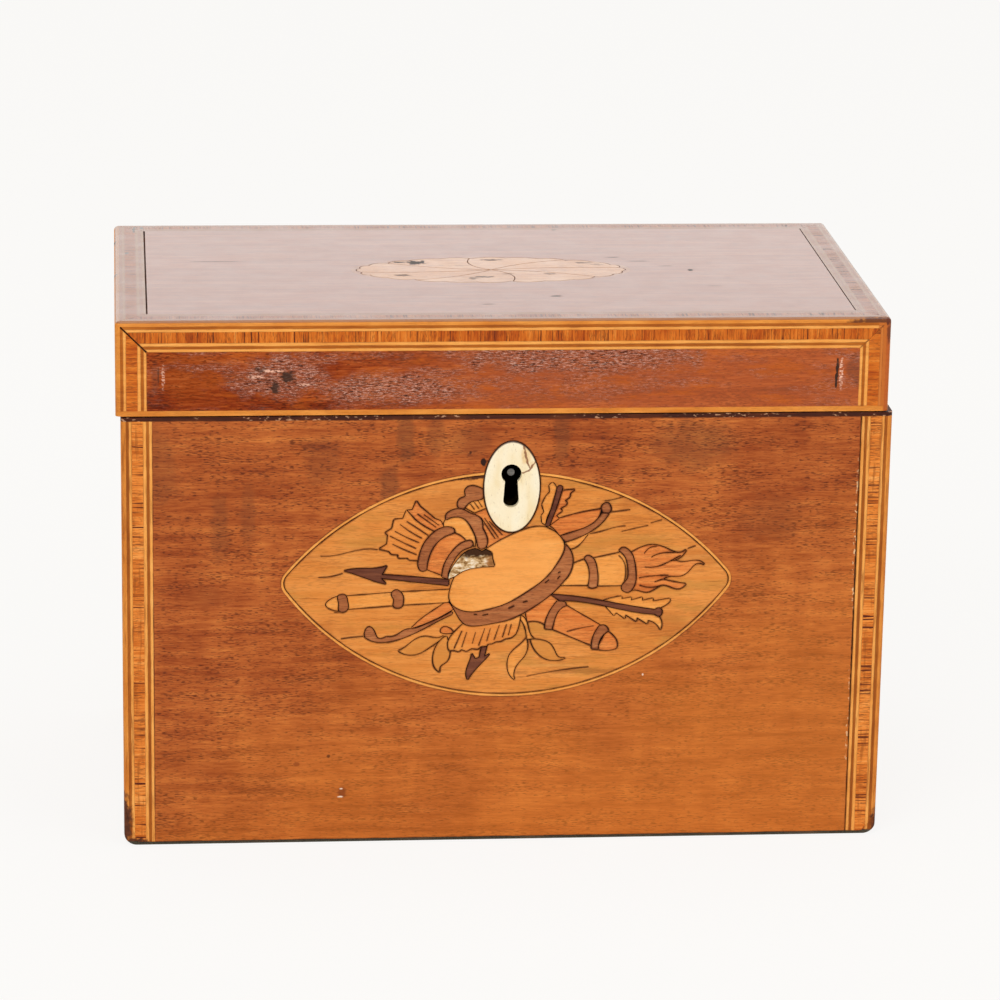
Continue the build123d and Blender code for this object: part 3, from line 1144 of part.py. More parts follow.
def lid_frame(hinge_cuts):
    """Rails and top board of the lid."""
    out_x, out_y = HALF_W - VENEER, HALF_D - VENEER
    in_x, in_y = LID_INNER_X, LID_INNER_Y
    z_span = (LID_BOTTOM, LID_CEILING)
    move = Pos(LID_SHIFT, 0, 0)
    edging = uprights((LID_BOTTOM, LID_TOP)) + [
        frame_bar(HALF_W, HALF_D, EDGING, (LID_TOP - EDGING, LID_TOP)),
        frame_bar(HALF_W, HALF_D, EDGING, (LID_BOTTOM, LID_BOTTOM + LID_FOOT_LINE)),
    ]
    edging = [move * piece for piece in edging]
    front = move * block((-out_x, out_x), (-out_y, -in_y), z_span)
    back = move * block((-out_x, out_x), (in_y, out_y), z_span)
    sides = [move * block(x_span, (-in_y, in_y), z_span) for x_span in ((-out_x, -in_x), (in_x, out_x))]
    top = move * block((-out_x, out_x), (-out_y, out_y), (LID_CEILING, LID_TOP - VENEER))
    link_seat = block(span(KEYHOLE_X, LINK_WIDTH + 2 * LOCK_FIT), span(LINK_Y, LINK_DEPTH + 2 * LOCK_FIT),
                      (LID_BOTTOM, LID_BOTTOM + LINK_THICK + LOCK_FIT))
    link_screws = (-LINK_SCREW_X, LINK_SCREW_X)
    link_holes = [Pos(KEYHOLE_X + x, LINK_Y, LID_BOTTOM) * screw_hole(1) for x in link_screws]
    lining = move * block((-in_x, in_x), (-in_y, in_y), (LID_BOTTOM + LEAF, LID_CEILING))
    lining -= move * block((LID_LINING - in_x, in_x - LID_LINING), (LID_LINING - in_y, in_y - LID_LINING),
                           (LID_BOTTOM, LID_CEILING - LID_LINING))
    return {
        "lid_front_rail": trim([front], edging + [link_seat] + link_holes),
        "lid_back_rail": trim([back], edging + hinge_cuts),
        "lid_side_rails": trim(sides, edging),
        "lid_top_board": trim([top], edging),
        "lid_lining": [lining],
    }


def lid_skin():
    """Veneers, borders and edging of the lid, with its oval."""
    face_z = (LID_BOTTOM + LID_FOOT_LINE, LID_TOP - EDGING)
    front_box = (EDGING - HALF_W, HALF_W - EDGING, *face_z)
    side_box = (EDGING - HALF_D, HALF_D - EDGING, *face_z)
    top_box = (EDGING - HALF_W, HALF_W - EDGING, EDGING - HALF_D, HALF_D - EDGING)
    three_sides, all_sides = ("left", "right", "top"), ("left", "right", "top", "bottom")
    top_plane = face_plane("top", LID_SHIFT)
    front_plane = face_plane("front", LID_SHIFT)
    back_plane = face_plane("back", LID_SHIFT)
    strips, field = border(front_plane, front_box, three_sides, {("left", "top"): OPEN_MITRE})
    top_strips, top_field = border(top_plane, top_box, all_sides)
    front = lay(front_plane, rectangle(field), VENEER)
    sides = []
    for side in ("left", "right"):
        more, side_field = border(face_plane(side, LID_SHIFT), side_box, three_sides)
        sides.append(lay(face_plane(side, LID_SHIFT), rectangle(side_field), VENEER))
        for wood in strips:
            strips[wood] += more[wood]
    for wood in strips:
        strips[wood] += top_strips[wood]
    bed, ground, leaves, oval = lid_marquetry()
    x0, x1, y0, y1 = top_field
    shrunk = rectangle((x0 + LID_FIELD_GAP, x1 - FIELD_GAP, y0, y1))
    envelope = lid_envelope()
    move = Pos(LID_SHIFT, 0, 0)
    edging = uprights((LID_BOTTOM + LID_FOOT_LINE, LID_TOP - EDGING)) + [
        frame_bar(HALF_W, HALF_D, EDGING, (LID_TOP - EDGING, LID_TOP)),
        frame_bar(HALF_W, HALF_D, EDGING, (LID_BOTTOM, LID_BOTTOM + LID_FOOT_LINE)),
    ]
    return {
        "lid_front_veneer": [front], "lid_side_veneers": sides,
        "lid_back_veneer": [lay(back_plane, rectangle(front_box), VENEER)],
        "lid_top_veneer": [lay(top_plane, shrunk - oval, VENEER)],
        "lid_light_lines": strips["light"], "lid_dark_lines": strips["dark"],
        "lid_crossbanding": strips["cross"],
        "lid_edging": [(move * piece) & envelope for piece in edging],
        "lid_oval_bed": [bed], "lid_oval_ground": [ground], "lid_oval_leaves": [leaves],
    }


def main():
    os.makedirs("parts", exist_ok=True)
    metal = hinges()
    body_cutters = [back_groove(False)] + knuckle_rooms() + [worn_corner(-1), worn_corner(1)] + chips()
    lid_cutters = [back_groove(True)] + knuckle_rooms()
    for name, pieces in boards(lock_pockets(), metal["body_cuts"]).items():
        save(name, *trim(pieces, body_cutters))
    for name, pieces in body_skin().items():
        save(name, *trim(pieces, body_cutters))
    baize = block((BAIZE_INSET - HALF_W, HALF_W - BAIZE_INSET), (BAIZE_INSET - HALF_D, HALF_D - BAIZE_INSET),
                  (0, BAIZE))
    save("base_baize", *trim([baize], [worn_corner(-1), worn_corner(1)]))
    save("escutcheon", escutcheon())
    save("lock_case", lock_case())
    save("lock_cap", lock_cap())
    save("lock_drill_pin", lock_drill_pin())
    save("lock_bolt", lock_bolt())
    save("lock_spring", lock_spring())
    lock_screws = [Pos(KEYHOLE_X + x, STAPLE_Y, BODY_TOP) * screw(-1) for x in (-LOCK_SCREW_X, LOCK_SCREW_X)]
    save("lock_screws", *lock_screws)
    save("partition", block(span(0, PARTITION), (-INNER_Y, INNER_Y), (FLOOR, INNER_LID_TOP)))
    left, right = compartment(-1), compartment(1)
    save("linings_left", *left["linings"])
    save("linings_right", *right["linings"])
    save("foil_linings", left["foil"], right["foil"])
    save("inner_lid_left", left["lid"])
    save("inner_lid_right", right["lid"])
    save("knob_left", left["knob"])
    save("knob_right", right["knob"])
    save("hinge_body_leaves", *metal["body_leaves"])
    save("hinge_pins", *metal["pins"])
    save("hinge_body_screws", *metal["body_screws"])
    for name, pieces in lid_frame(metal["lid_cuts"]).items():
        save(name, *trim(pieces, lid_cutters))
    for name, pieces in lid_skin().items():
        save(name, *trim(pieces, lid_cutters))
    save("link_plate", link_plate())
    link_screws = [Pos(KEYHOLE_X + x, LINK_Y, LID_BOTTOM) * screw(1) for x in (-LINK_SCREW_X, LINK_SCREW_X)]
    save("lid_screws", *metal["lid_screws"], *link_screws)
    save("hinge_lid_leaves", *metal["lid_leaves"])


main()
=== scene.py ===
import math

import bpy
from mathutils import Matrix, Vector

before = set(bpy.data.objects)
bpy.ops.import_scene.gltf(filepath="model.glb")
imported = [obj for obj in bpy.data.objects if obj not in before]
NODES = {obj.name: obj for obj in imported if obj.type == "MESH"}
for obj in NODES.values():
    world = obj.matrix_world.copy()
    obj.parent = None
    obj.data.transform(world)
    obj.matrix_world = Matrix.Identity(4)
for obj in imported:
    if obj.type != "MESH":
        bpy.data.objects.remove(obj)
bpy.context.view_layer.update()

MM = 0.001

# The camera stands where the photograph was taken from; lengths in millimetres, angles in degrees.
LENS, SENSOR = 155.397, 36.0
TARGET = Vector((2.79756, 0.0, 73.66391))
DISTANCE = 1118.616
AZIMUTH, ELEVATION, ROLL = -5.219, 16.365, 0.937

# Half sizes of the box and the shift of the lid, in millimetres, for patterns that follow the edges.
HALF_WIDTH, HALF_DEPTH = 95.0, 53.0
LID_SHIFT = -1.2
LID_TOP = 135.0

# The escutcheon's middle across and up the front, then its half sizes.
ESCUTCHEON = (0.87, 92.6, 7.0, 11.7)

# Half size of a mark in the direction that doesn't limit it.
FAR = 1e5

# The floor's half size in metres, and the share of it that glows where the camera sees it.
FLOOR_HALF, FLOOR_GLOW = 3.0, 0.9

# The coat of old polish: a little rough, and less mirroring than fresh varnish.
POLISH_ROUGHNESS, POLISH_IOR = 0.16, 1.42


def srgb(red, green, blue):
    """A colour written as it looks on a screen, 0 to 255, as the linear values of a shader."""
    return tuple((value / 255) ** 2.2 for value in (red, green, blue)) + (1.0,)


def add_camera():
    """A camera that looks at TARGET from DISTANCE away and is rolled about its line of sight."""
    data = bpy.data.cameras.new("view")
    data.lens = LENS
    data.sensor_width = SENSOR
    camera = bpy.data.objects.new("view", data)
    bpy.context.scene.collection.objects.link(camera)
    azimuth, elevation, roll = (math.radians(angle) for angle in (AZIMUTH, ELEVATION, ROLL))
    back = Vector((math.sin(azimuth) * math.cos(elevation), -math.cos(azimuth) * math.cos(elevation),
                   math.sin(elevation)))
    right = (-back).cross(Vector((0, 0, 1))).normalized()
    up = back.cross(right)
    turned_right = right * math.cos(roll) + up * math.sin(roll)
    turned_up = up * math.cos(roll) - right * math.sin(roll)
    matrix = Matrix((turned_right, turned_up, back)).transposed().to_4x4()
    matrix.translation = (TARGET + back * DISTANCE) * MM
    camera.matrix_world = matrix
    bpy.context.scene.camera = camera


LAMPS = (
    # name, place and size in metres, power in watts
    ("key", (-0.9, -1.5, 1.2), (1.2, 1.0), 15.0),
    ("fill", (1.3, -1.3, 0.7), (1.2, 1.0), 9.0),
    ("over", (0.0, 0.1, 1.7), (1.4, 1.4), 9.0),
    ("behind", (0.1, 1.6, 0.62), (2.4, 0.8), 2.0),
)
# The point that the lamps are aimed at, and the strength of the surroundings where they only give light.
LAMP_AIM = Vector((0, 0, 0.07))
AMBIENT = 0.36


def add_lamps():
    for name, place, size, power in LAMPS:
        data = bpy.data.lights.new(name, "AREA")
        data.shape = "RECTANGLE"
        data.size, data.size_y = size
        data.energy = power
        lamp = bpy.data.objects.new(name, data)
        bpy.context.scene.collection.objects.link(lamp)
        lamp.location = place
        aim = LAMP_AIM - Vector(place)
        lamp.rotation_euler = aim.to_track_quat("-Z", "Y").to_euler()
        lamp.visible_camera = False


def add_world():
    """Near-white surroundings, at full strength where they are seen or mirrored and else at AMBIENT."""
    world = bpy.data.worlds.new("studio")
    bpy.context.scene.world = world
    world.use_nodes = True
    tree = world.node_tree
    tree.nodes.clear()
    output = tree.nodes.new("ShaderNodeOutputWorld")
    background = tree.nodes.new("ShaderNodeBackground")
    background.inputs["Color"].default_value = srgb(255, 250, 245)
    tree.links.new(background.outputs[0], output.inputs[0])
    path = tree.nodes.new("ShaderNodeLightPath")
    seen = path.outputs["Is Camera Ray"]
    for ray in ("Is Glossy Ray", "Is Transmission Ray"):
        either = tree.nodes.new("ShaderNodeMath")
        either.operation = "MAXIMUM"
        tree.links.new(seen, either.inputs[0])
        tree.links.new(path.outputs[ray], either.inputs[1])
        seen = either.outputs[0]
    strength = tree.nodes.new("ShaderNodeMapRange")
    tree.links.new(seen, strength.inputs["Value"])
    strength.inputs["To Min"].default_value = AMBIENT
    tree.links.new(strength.outputs[0], background.inputs["Strength"])


def add_floor():
    """A white floor that mostly glows where the camera sees it, so that only a faint shadow shows."""
    mesh = bpy.data.meshes.new("floor")
    corners = [(x * FLOOR_HALF, y * FLOOR_HALF, 0) for x, y in ((-1, -1), (1, -1), (1, 1), (-1, 1))]
    mesh.from_pydata(corners, [], [(0, 1, 2, 3)])
    floor = bpy.data.objects.new("floor", mesh)
    bpy.context.scene.collection.objects.link(floor)
    material = bpy.data.materials.new("floor")
    material.use_nodes = True
    tree = material.node_tree
    tree.nodes.clear()
    output = tree.nodes.new("ShaderNodeOutputMaterial")
    mix = tree.nodes.new("ShaderNodeMixShader")
    diffuse = tree.nodes.new("ShaderNodeBsdfDiffuse")
    diffuse.inputs["Color"].default_value = srgb(250, 248, 246)
    glow = tree.nodes.new("ShaderNodeEmission")
    glow.inputs["Color"].default_value = srgb(253, 252, 250)
    path = tree.nodes.new("ShaderNodeLightPath")
    share = tree.nodes.new("ShaderNodeMath")
    share.operation = "MULTIPLY"
    share.inputs[1].default_value = FLOOR_GLOW
    tree.links.new(path.outputs["Is Camera Ray"], share.inputs[0])
    tree.links.new(share.outputs[0], mix.inputs[0])
    tree.links.new(diffuse.outputs[0], mix.inputs[1])
    tree.links.new(glow.outputs[0], mix.inputs[2])
    tree.links.new(mix.outputs[0], output.inputs[0])
    mesh.materials.append(material)


class Look:
    """One material and short calls that add nodes to it; places and sizes are in millimetres."""

    def __init__(self, name, coat=0.0, coat_roughness=0.15, coat_ior=1.5, metallic=0.0, sheen=0.0,
                 specular=0.5):
        self.material = bpy.data.materials.new(name)
        self.material.use_nodes = True
        self.tree = self.material.node_tree
        self.tree.nodes.clear()
        output = self.tree.nodes.new("ShaderNodeOutputMaterial")
        self.shader = self.tree.nodes.new("ShaderNodeBsdfPrincipled")
        self.tree.links.new(self.shader.outputs[0], output.inputs["Surface"])
        values = {"Coat Weight": coat, "Coat Roughness": coat_roughness, "Coat IOR": coat_ior,
                  "Metallic": metallic, "Sheen Weight": sheen, "Specular IOR Level": specular}
        for socket, value in values.items():
            self.shader.inputs[socket].default_value = value
        source = self.tree.nodes.new("ShaderNodeTexCoord")
        self.place = self.vector("SCALE", source.outputs["Object"], scale=1000.0)
        self.normal = source.outputs["Normal"]

    def node(self, kind, inputs, **settings):
        made = self.tree.nodes.new("ShaderNode" + kind)
        for key, value in settings.items():
            setattr(made, key, value)
        for key, value in inputs.items():
            if isinstance(value, bpy.types.NodeSocket):
                self.tree.links.new(value, made.inputs[key])
            else:
                made.inputs[key].default_value = value
        return made

    def math(self, operation, first, second=0.0):
        return self.node("Math", {0: first, 1: second}, operation=operation).outputs[0]

    def vector(self, operation, first, second=(0, 0, 0), scale=1.0):
        made = self.node("VectorMath", {0: first, 1: second, 3: scale}, operation=operation)
        return made.outputs[1 if operation in ("LENGTH", "DOT_PRODUCT") else 0]

    def split(self, vector):
        return tuple(self.node("SeparateXYZ", {0: vector}).outputs)

    def join(self, x, y, z):
        return self.node("CombineXYZ", {0: x, 1: y, 2: z}).outputs[0]

    def remap(self, value, low, high, out_low=0.0, out_high=1.0):
        """A value's smooth step from out_low at low to out_high at high."""
        made = self.node("MapRange", {0: value, 1: low, 2: high, 3: out_low, 4: out_high},
                         interpolation_type="SMOOTHSTEP")
        return made.outputs[0]

    def noise(self, vector, cell, detail=2.0, rough=0.5, distortion=0.0):
        """Soft noise from 0 to 1 whose blots are about as large as cell."""
        cell = cell if isinstance(cell, tuple) else (cell, cell, cell)
        scaled = self.vector("DIVIDE", vector, cell)
        inputs = {"Vector": scaled, "Scale": 1.0, "Detail": detail, "Roughness": rough,
                  "Distortion": distortion}
        return self.node("TexNoise", inputs).outputs[0]

    def cells(self, vector, cell):
        """How far it is to the nearest wall between cells about as large as cell."""
        scaled = self.vector("DIVIDE", vector, (cell, cell, cell))
        made = self.node("TexVoronoi", {"Vector": scaled, "Scale": 1.0}, feature="DISTANCE_TO_EDGE")
        return made.outputs["Distance"]

    def ramp(self, factor, stops):
        made = self.node("ValToRGB", {0: factor})
        elements = made.color_ramp.elements
        while len(elements) < len(stops):
            elements.new(0.5)
        for element, (position, colour) in zip(elements, stops):
            element.position = position
            element.color = srgb(*colour)
        return made.outputs[0]

    def mix(self, factor, first, second, blend="MIX"):
        first, second = (srgb(*c) if isinstance(c, tuple) else c for c in (first, second))
        made = self.node("Mix", {0: factor, 6: first, 7: second}, data_type="RGBA", blend_type=blend)
        return made.outputs[2]

    def mix_vector(self, factor, first, second):
        return self.node("Mix", {0: factor, 4: first, 5: second}, data_type="VECTOR").outputs[1]

    def scaled(self, value, amount):
        return self.math("MULTIPLY", value, amount)

    def swing(self, value, amount):
        """A value from 0 to 1 moved to lie about 0, over a range of amount."""
        return self.scaled(self.math("SUBTRACT", value, 0.5), amount)

    def highest(self, *values):
        result = values[0]
        for value in values[1:]:
            result = self.math("MAXIMUM", result, value)
        return result

    def total(self, *values):
        result = values[0]
        for value in values[1:]:
            result = self.math("ADD", result, value)
        return result

    def away(self, across, along, half_across, half_along, flat="y"):
        """0 in the middle of an ellipse in the plane across flat, 1 at its outline and more outside."""
        centre = (across, 0, along) if flat == "y" else (across, along, 0)
        size = (half_across, FAR, half_along) if flat == "y" else (half_across, half_along, FAR)
        from_centre = self.vector("SUBTRACT", self.place, centre)
        return self.vector("LENGTH", self.vector("DIVIDE", from_centre, size))

    def spots(self, marks, flat="y", ragged=0.5, grit=2.0):
        """Where ragged spots are: each mark is its place and half sizes in the plane across flat, and its
        strength."""
        wobble = self.swing(self.noise(self.place, grit), ragged)
        found = []
        for *ellipse, strength in marks:
            away = self.away(*ellipse, flat)
            found.append(self.remap(self.total(away, wobble), 1.0, 0.45, 0.0, strength))
        return self.highest(*found)

    def rim(self, width):
        """1 at the outline of each thin piece, falling to 0 at width inside it."""
        made = self.node("AmbientOcclusion", {"Distance": width * MM}, inside=True, only_local=True,
                         samples=8)
        uneven = self.remap(self.noise(self.place, 5.0, 3.0), 0.35, 0.65, 0.3, 1.0)
        return self.math("MULTIPLY", self.remap(made.outputs["AO"], 0.97, 0.55), uneven)

    def segment(self, start, end, width):
        """1 on a ragged hairline of the front from start to end, given across and up."""
        wobble = self.swing(self.noise(self.place, 1.0), 1.2)
        place = self.vector("MULTIPLY", self.place, (1, 0, 1))
        place = self.vector("ADD", place, self.join(wobble, 0.0, 0.0))
        a, b = Vector((start[0], 0, start[1])), Vector((end[0], 0, end[1]))
        run = b - a
        from_start = self.vector("SUBTRACT", place, tuple(a))
        share = self.scaled(self.vector("DOT_PRODUCT", from_start, tuple(run)), 1 / run.length_squared)
        share = self.node("Clamp", {0: share}).outputs[0]
        nearest = self.vector("SCALE", self.join(*run), scale=share)
        away = self.vector("LENGTH", self.vector("SUBTRACT", from_start, nearest))
        return self.remap(away, width, 0.3 * width)

    def finish(self, colour, height=None, bump=0.02, strength=0.6, roughness=None):
        self.tree.links.new(colour, self.shader.inputs["Base Color"])
        if roughness is not None:
            self.tree.links.new(roughness, self.shader.inputs["Roughness"])
        if height is not None:
            made = self.node("Bump", {"Height": height, "Distance": bump * MM, "Strength": strength})
            self.tree.links.new(made.outputs["Normal"], self.shader.inputs["Normal"])
        return self.material


def turned(look, axes):
    """The place with its first number along the grain; axes names the directions in that order."""
    numbers = dict(zip("xyz", look.split(look.place)))
    return look.join(*(numbers[axis] for axis in axes))


def facing(look, axis):
    """1 on faces that look along the axis, else 0."""
    part = look.split(look.normal)["xyz".index(axis)]
    return look.math("GREATER_THAN", look.math("ABSOLUTE", part), 0.6)


def inward(look, x):
    """How far a place of the lid lies inside its nearer end."""
    return look.math("SUBTRACT", HALF_WIDTH, look.math("ABSOLUTE", look.math("SUBTRACT", x, LID_SHIFT)))


def banded(look, on_lid):
    """The place along the grain of a crossband, which runs square to the nearest edge on each face."""
    x, y, z = look.split(look.place)
    front, side = look.join(x, z, y), look.join(y, z, x)
    if not on_lid:
        return look.mix_vector(facing(look, "x"), front, side)
    aside = inward(look, x)
    deep = look.math("SUBTRACT", HALF_DEPTH, look.math("ABSOLUTE", y))
    below = look.math("SUBTRACT", LID_TOP, z)
    front = look.mix_vector(look.math("LESS_THAN", below, aside), front, look.join(z, x, y))
    side = look.mix_vector(look.math("LESS_THAN", below, deep), side, look.join(z, y, x))
    top = look.mix_vector(look.math("LESS_THAN", deep, aside), look.join(x, y, z), look.join(y, x, z))
    place = look.mix_vector(facing(look, "x"), front, side)
    return look.mix_vector(facing(look, "z"), place, top)


def grain(look, place, streak=(45.0, 2.4), fine=(12.0, 0.5), patch=25.0, ripple=(4.0, 30.0),
          weights=(0.5, 0.25, 0.3, 0.0), wave=1.5):
    """How light the wood is, 0 to 1 about 0.5, from streaks, fine lines, patches and cross ripple, each of
    these with its weight; then the fine lines alone. Wave bends the grain, in millimetres."""
    slow = look.noise(place, (60.0, 18.0, 18.0), 1.0)
    moved = look.swing(slow, 2 * wave)
    place = look.vector("ADD", place, look.join(0.0, moved, moved))
    parts = (
        look.noise(place, (streak[0], streak[1], streak[1]), 4.0, 0.55),
        look.noise(place, (fine[0], fine[1], fine[1]), 3.0, 0.6),
        look.noise(place, patch, 2.0),
        look.noise(place, (ripple[0], ripple[1], ripple[1]), 2.0),
    )
    tones = [look.swing(part, 2 * weight) for part, weight in zip(parts, weights) if weight]
    return look.total(0.5, *tones), parts[1]


def pores(look, place, size=(2.4, 0.3)):
    """Short open pores along the grain, 0 to 1, which crowd in some streaks."""
    crowd = look.swing(look.noise(place, (16, 3, 3), 3.0), 0.45)
    short = look.noise(place, (size[0], size[1], size[1]), 1.0)
    return look.remap(look.total(short, crowd), 0.56, 0.66)


def timber(name, tones, axes="xyz", pore_colour=(78, 28, 4), pore=0.5, pore_size=(2.4, 0.3), band=None,
           roughness=(0.35, 0.55), gloss="none", shade=0.6, specular=0.2, bump=0.03, marks=None, edge=None,
           **grains):
    """A wood: tones from dark to light, pores, a varying polish, and marks(look, colour) for what is on it.

    Axes names the grain's direction first. Band is True or False for a crossband on the lid or the body.
    The gloss of the polish is "none" where it is worn, "all" over the whole piece or "top" on upward faces,
    which it also darkens by shade: painted shade on the top faces.
    Edge gives the width, strength and colour of the scorched or dirty line along each piece's outline."""
    look = Look(name, 1.0 if gloss == "all" else 0.0, POLISH_ROUGHNESS, POLISH_IOR, specular=specular)
    if gloss == "top":
        look.tree.links.new(facing(look, "z"), look.shader.inputs["Coat Weight"])
    place = turned(look, axes) if band is None else banded(look, band)
    tone, fine = grain(look, place, **grains)
    colour = look.ramp(tone, tones)
    hole = pores(look, place, pore_size)
    colour = look.mix(look.scaled(hole, pore), colour, pore_colour)
    # Painted shade: upward faces are darkened toward a dull brown by the share shade.
    if gloss == "top":
        colour = look.mix(look.scaled(facing(look, "z"), shade), colour, (92, 52, 36))
    if marks:
        colour = marks(look, colour)
    if edge:
        width, strength, dark = edge
        colour = look.mix(look.scaled(look.rim(width), strength), colour, dark)
    polish = look.remap(look.noise(look.place, 9.0, 3.0), 0.3, 0.7, *roughness)
    height = look.math("SUBTRACT", look.scaled(fine, 0.4), hole)
    return look.finish(colour, height, bump, roughness=polish)


def lid_border_marks(look, colour):
    """Darker side walls in the open joints beside the field of the lid's top, and the faded lines at the
    front's right end."""
    x, _, z = look.split(look.place)
    wall = look.math("MULTIPLY", look.remap(inward(look, x), 7.0, 7.3),
                     look.math("GREATER_THAN", z, LID_TOP - 1.2))
    hidden = look.math("SUBTRACT", 1.0, facing(look, "z"))
    colour = look.mix(look.math("MULTIPLY", wall, hidden), colour, (34, 18, 12))
    end = look.remap(x, LID_SHIFT + 91.6, LID_SHIFT + 92.0, 0.0, 0.85)
    return look.mix(look.math("MULTIPLY", end, facing(look, "y")), colour, (198, 108, 44))


def lid_edging_marks(look, colour):
    """The redder right end, its dark worn corner and two chips on the left edge."""
    x, _, _ = look.split(look.place)
    end = look.remap(x, LID_SHIFT + 93.4, LID_SHIFT + 93.9, 0.0, 0.8)
    colour = look.mix(look.math("MULTIPLY", end, facing(look, "y")), colour, (176, 80, 32))
    worn = look.spots(((90, 134, 8, 1.3, 0.9), (93.5, 131, 1.0, 3.0, 0.7)), ragged=1.4, grit=1.2)
    colour = look.mix(worn, colour, (84, 40, 28))
    chip = look.spots(((-96.4, -3, 1.3, 1.3, 1.6), (-96.4, 34, 1.0, 2.4, 1.0)),
                      flat="z", ragged=0.9, grit=1.0)
    return look.mix(chip, colour, (66, 38, 24))


def ticks(look, colour, on_lid):
    """Dark hairlines along the grain of a crossband."""
    hair = look.remap(look.noise(banded(look, on_lid), (12.0, 0.42, 0.42), 1.0), 0.58, 0.66)
    crowd = look.remap(look.noise(look.place, 9.0, 2.0), 0.35, 0.6, 0.3, 1.0)
    return look.mix(look.math("MULTIPLY", hair, crowd), colour, (88, 32, 6))


def body_band_marks(look, colour):
    """Worn corners, with the hairlines over them."""
    return ticks(look, corner_wear(look, colour), False)


def rim_glint_marks(look, colour):
    """Pale flecks that gather here and there along the rim: painted highlights."""
    # Painted highlights: pale flecks on the dark rim.
    pale_bits = look.remap(look.noise(look.place, (1.4, 1.4, 0.6), 3.0), 0.58, 0.66, 0.0, 0.9)
    crowd = look.remap(look.noise(look.place, 12.0, 2.0), 0.42, 0.56)
    return look.mix(look.math("MULTIPLY", pale_bits, crowd), colour, (190, 142, 108))


def lid_band_marks(look, colour):
    """Hairlines, dark ticks across the band on the lid's top, most of all at the right, and a few dents; the
    polish is thinner on the ticks."""
    colour = ticks(look, colour, True)
    x, _, _ = look.split(look.place)
    tick = look.remap(look.noise(banded(look, True), (7.0, 0.55, 0.55), 2.0), 0.55, 0.66)
    share = look.math("MULTIPLY", look.remap(x, 40.0, 88.0, 0.4, 0.9), facing(look, "z"))
    cut = look.math("MULTIPLY", tick, share)
    gloss = look.math("MULTIPLY", facing(look, "z"), look.math("SUBTRACT", 0.88, look.scaled(cut, 0.5)))
    look.tree.links.new(gloss, look.shader.inputs["Coat Weight"])
    colour = look.mix(cut, colour, (40, 20, 14))
    dent = look.spots(((-89, 45, 0.7, 7, 2.0), (-91, 47, 0.5, 4, 1.6), (-93, 20, 0.8, 1.2, 1.4)),
                      flat="z", ragged=0.9, grit=1.0)
    return look.mix(dent, colour, (40, 24, 18))


def corner_wear(look, colour):
    """Dark wood that shows where the front's bottom corners are chipped, and dirt up the corners."""
    _, y, _ = look.split(look.place)
    uneven = look.swing(look.noise(look.place, 2.5, 3.0), 10.0)
    front = look.remap(look.total(y, uneven), -46.5, -49.5)
    chip = look.spots(((-96, 6, 3.6, 10.0, 1.6), (96, 2.5, 2.8, 7.0, 1.6), (-92, 0, 4.4, 2.4, 1.6),
                       (92, 0, 3.6, 1.4, 1.4)), ragged=0.9, grit=1.6)
    bare = look.mix(look.noise(look.place, 1.2, 3.0), (30, 14, 8), (122, 70, 44))
    colour = look.mix(look.math("MULTIPLY", chip, front), colour, bare)
    dirt = look.remap(look.noise(look.place, (1.0, 1.0, 9.0), 3.0), 0.5, 0.7, 0.0, 0.6)
    return look.mix(dirt, colour, (150, 78, 24))


def olive(look, colour):
    """Greenish clouds and dark hairs in the ground of the oval, shade around the trophy and scorched places
    along the outline."""
    cloud = look.remap(look.noise(look.place, (16, 16, 4), 3.0), 0.5, 0.7, 0.0, 0.55)
    colour = look.mix(cloud, colour, (192, 132, 58))
    hair = look.remap(look.noise(look.place, (9.0, 9.0, 0.3), 2.0), 0.64, 0.72, 0.0, 0.5)
    colour = look.mix(hair, colour, (136, 70, 22))
    shade = look.spots(((-58, 76, 16, 3.0, 0.4), (-52, 55, 18, 4.0, 0.35), (42, 89, 22, 4.0, 0.4),
                        (-12, 88, 14, 7.0, 0.35), (38, 57, 14, 5.0, 0.35), (46, 74, 14, 3.0, 0.3)),
                       ragged=1.2, grit=4.0)
    colour = look.mix(shade, colour, (172, 92, 36))
    burnt = look.spots(((-15, 95.5, 12, 1.5, 1.3), (14, 96, 8, 1.3, 1.2), (24, 44.5, 26, 0.8, 0.3)),
                       ragged=1.5)
    return look.mix(burnt, colour, (84, 46, 22))


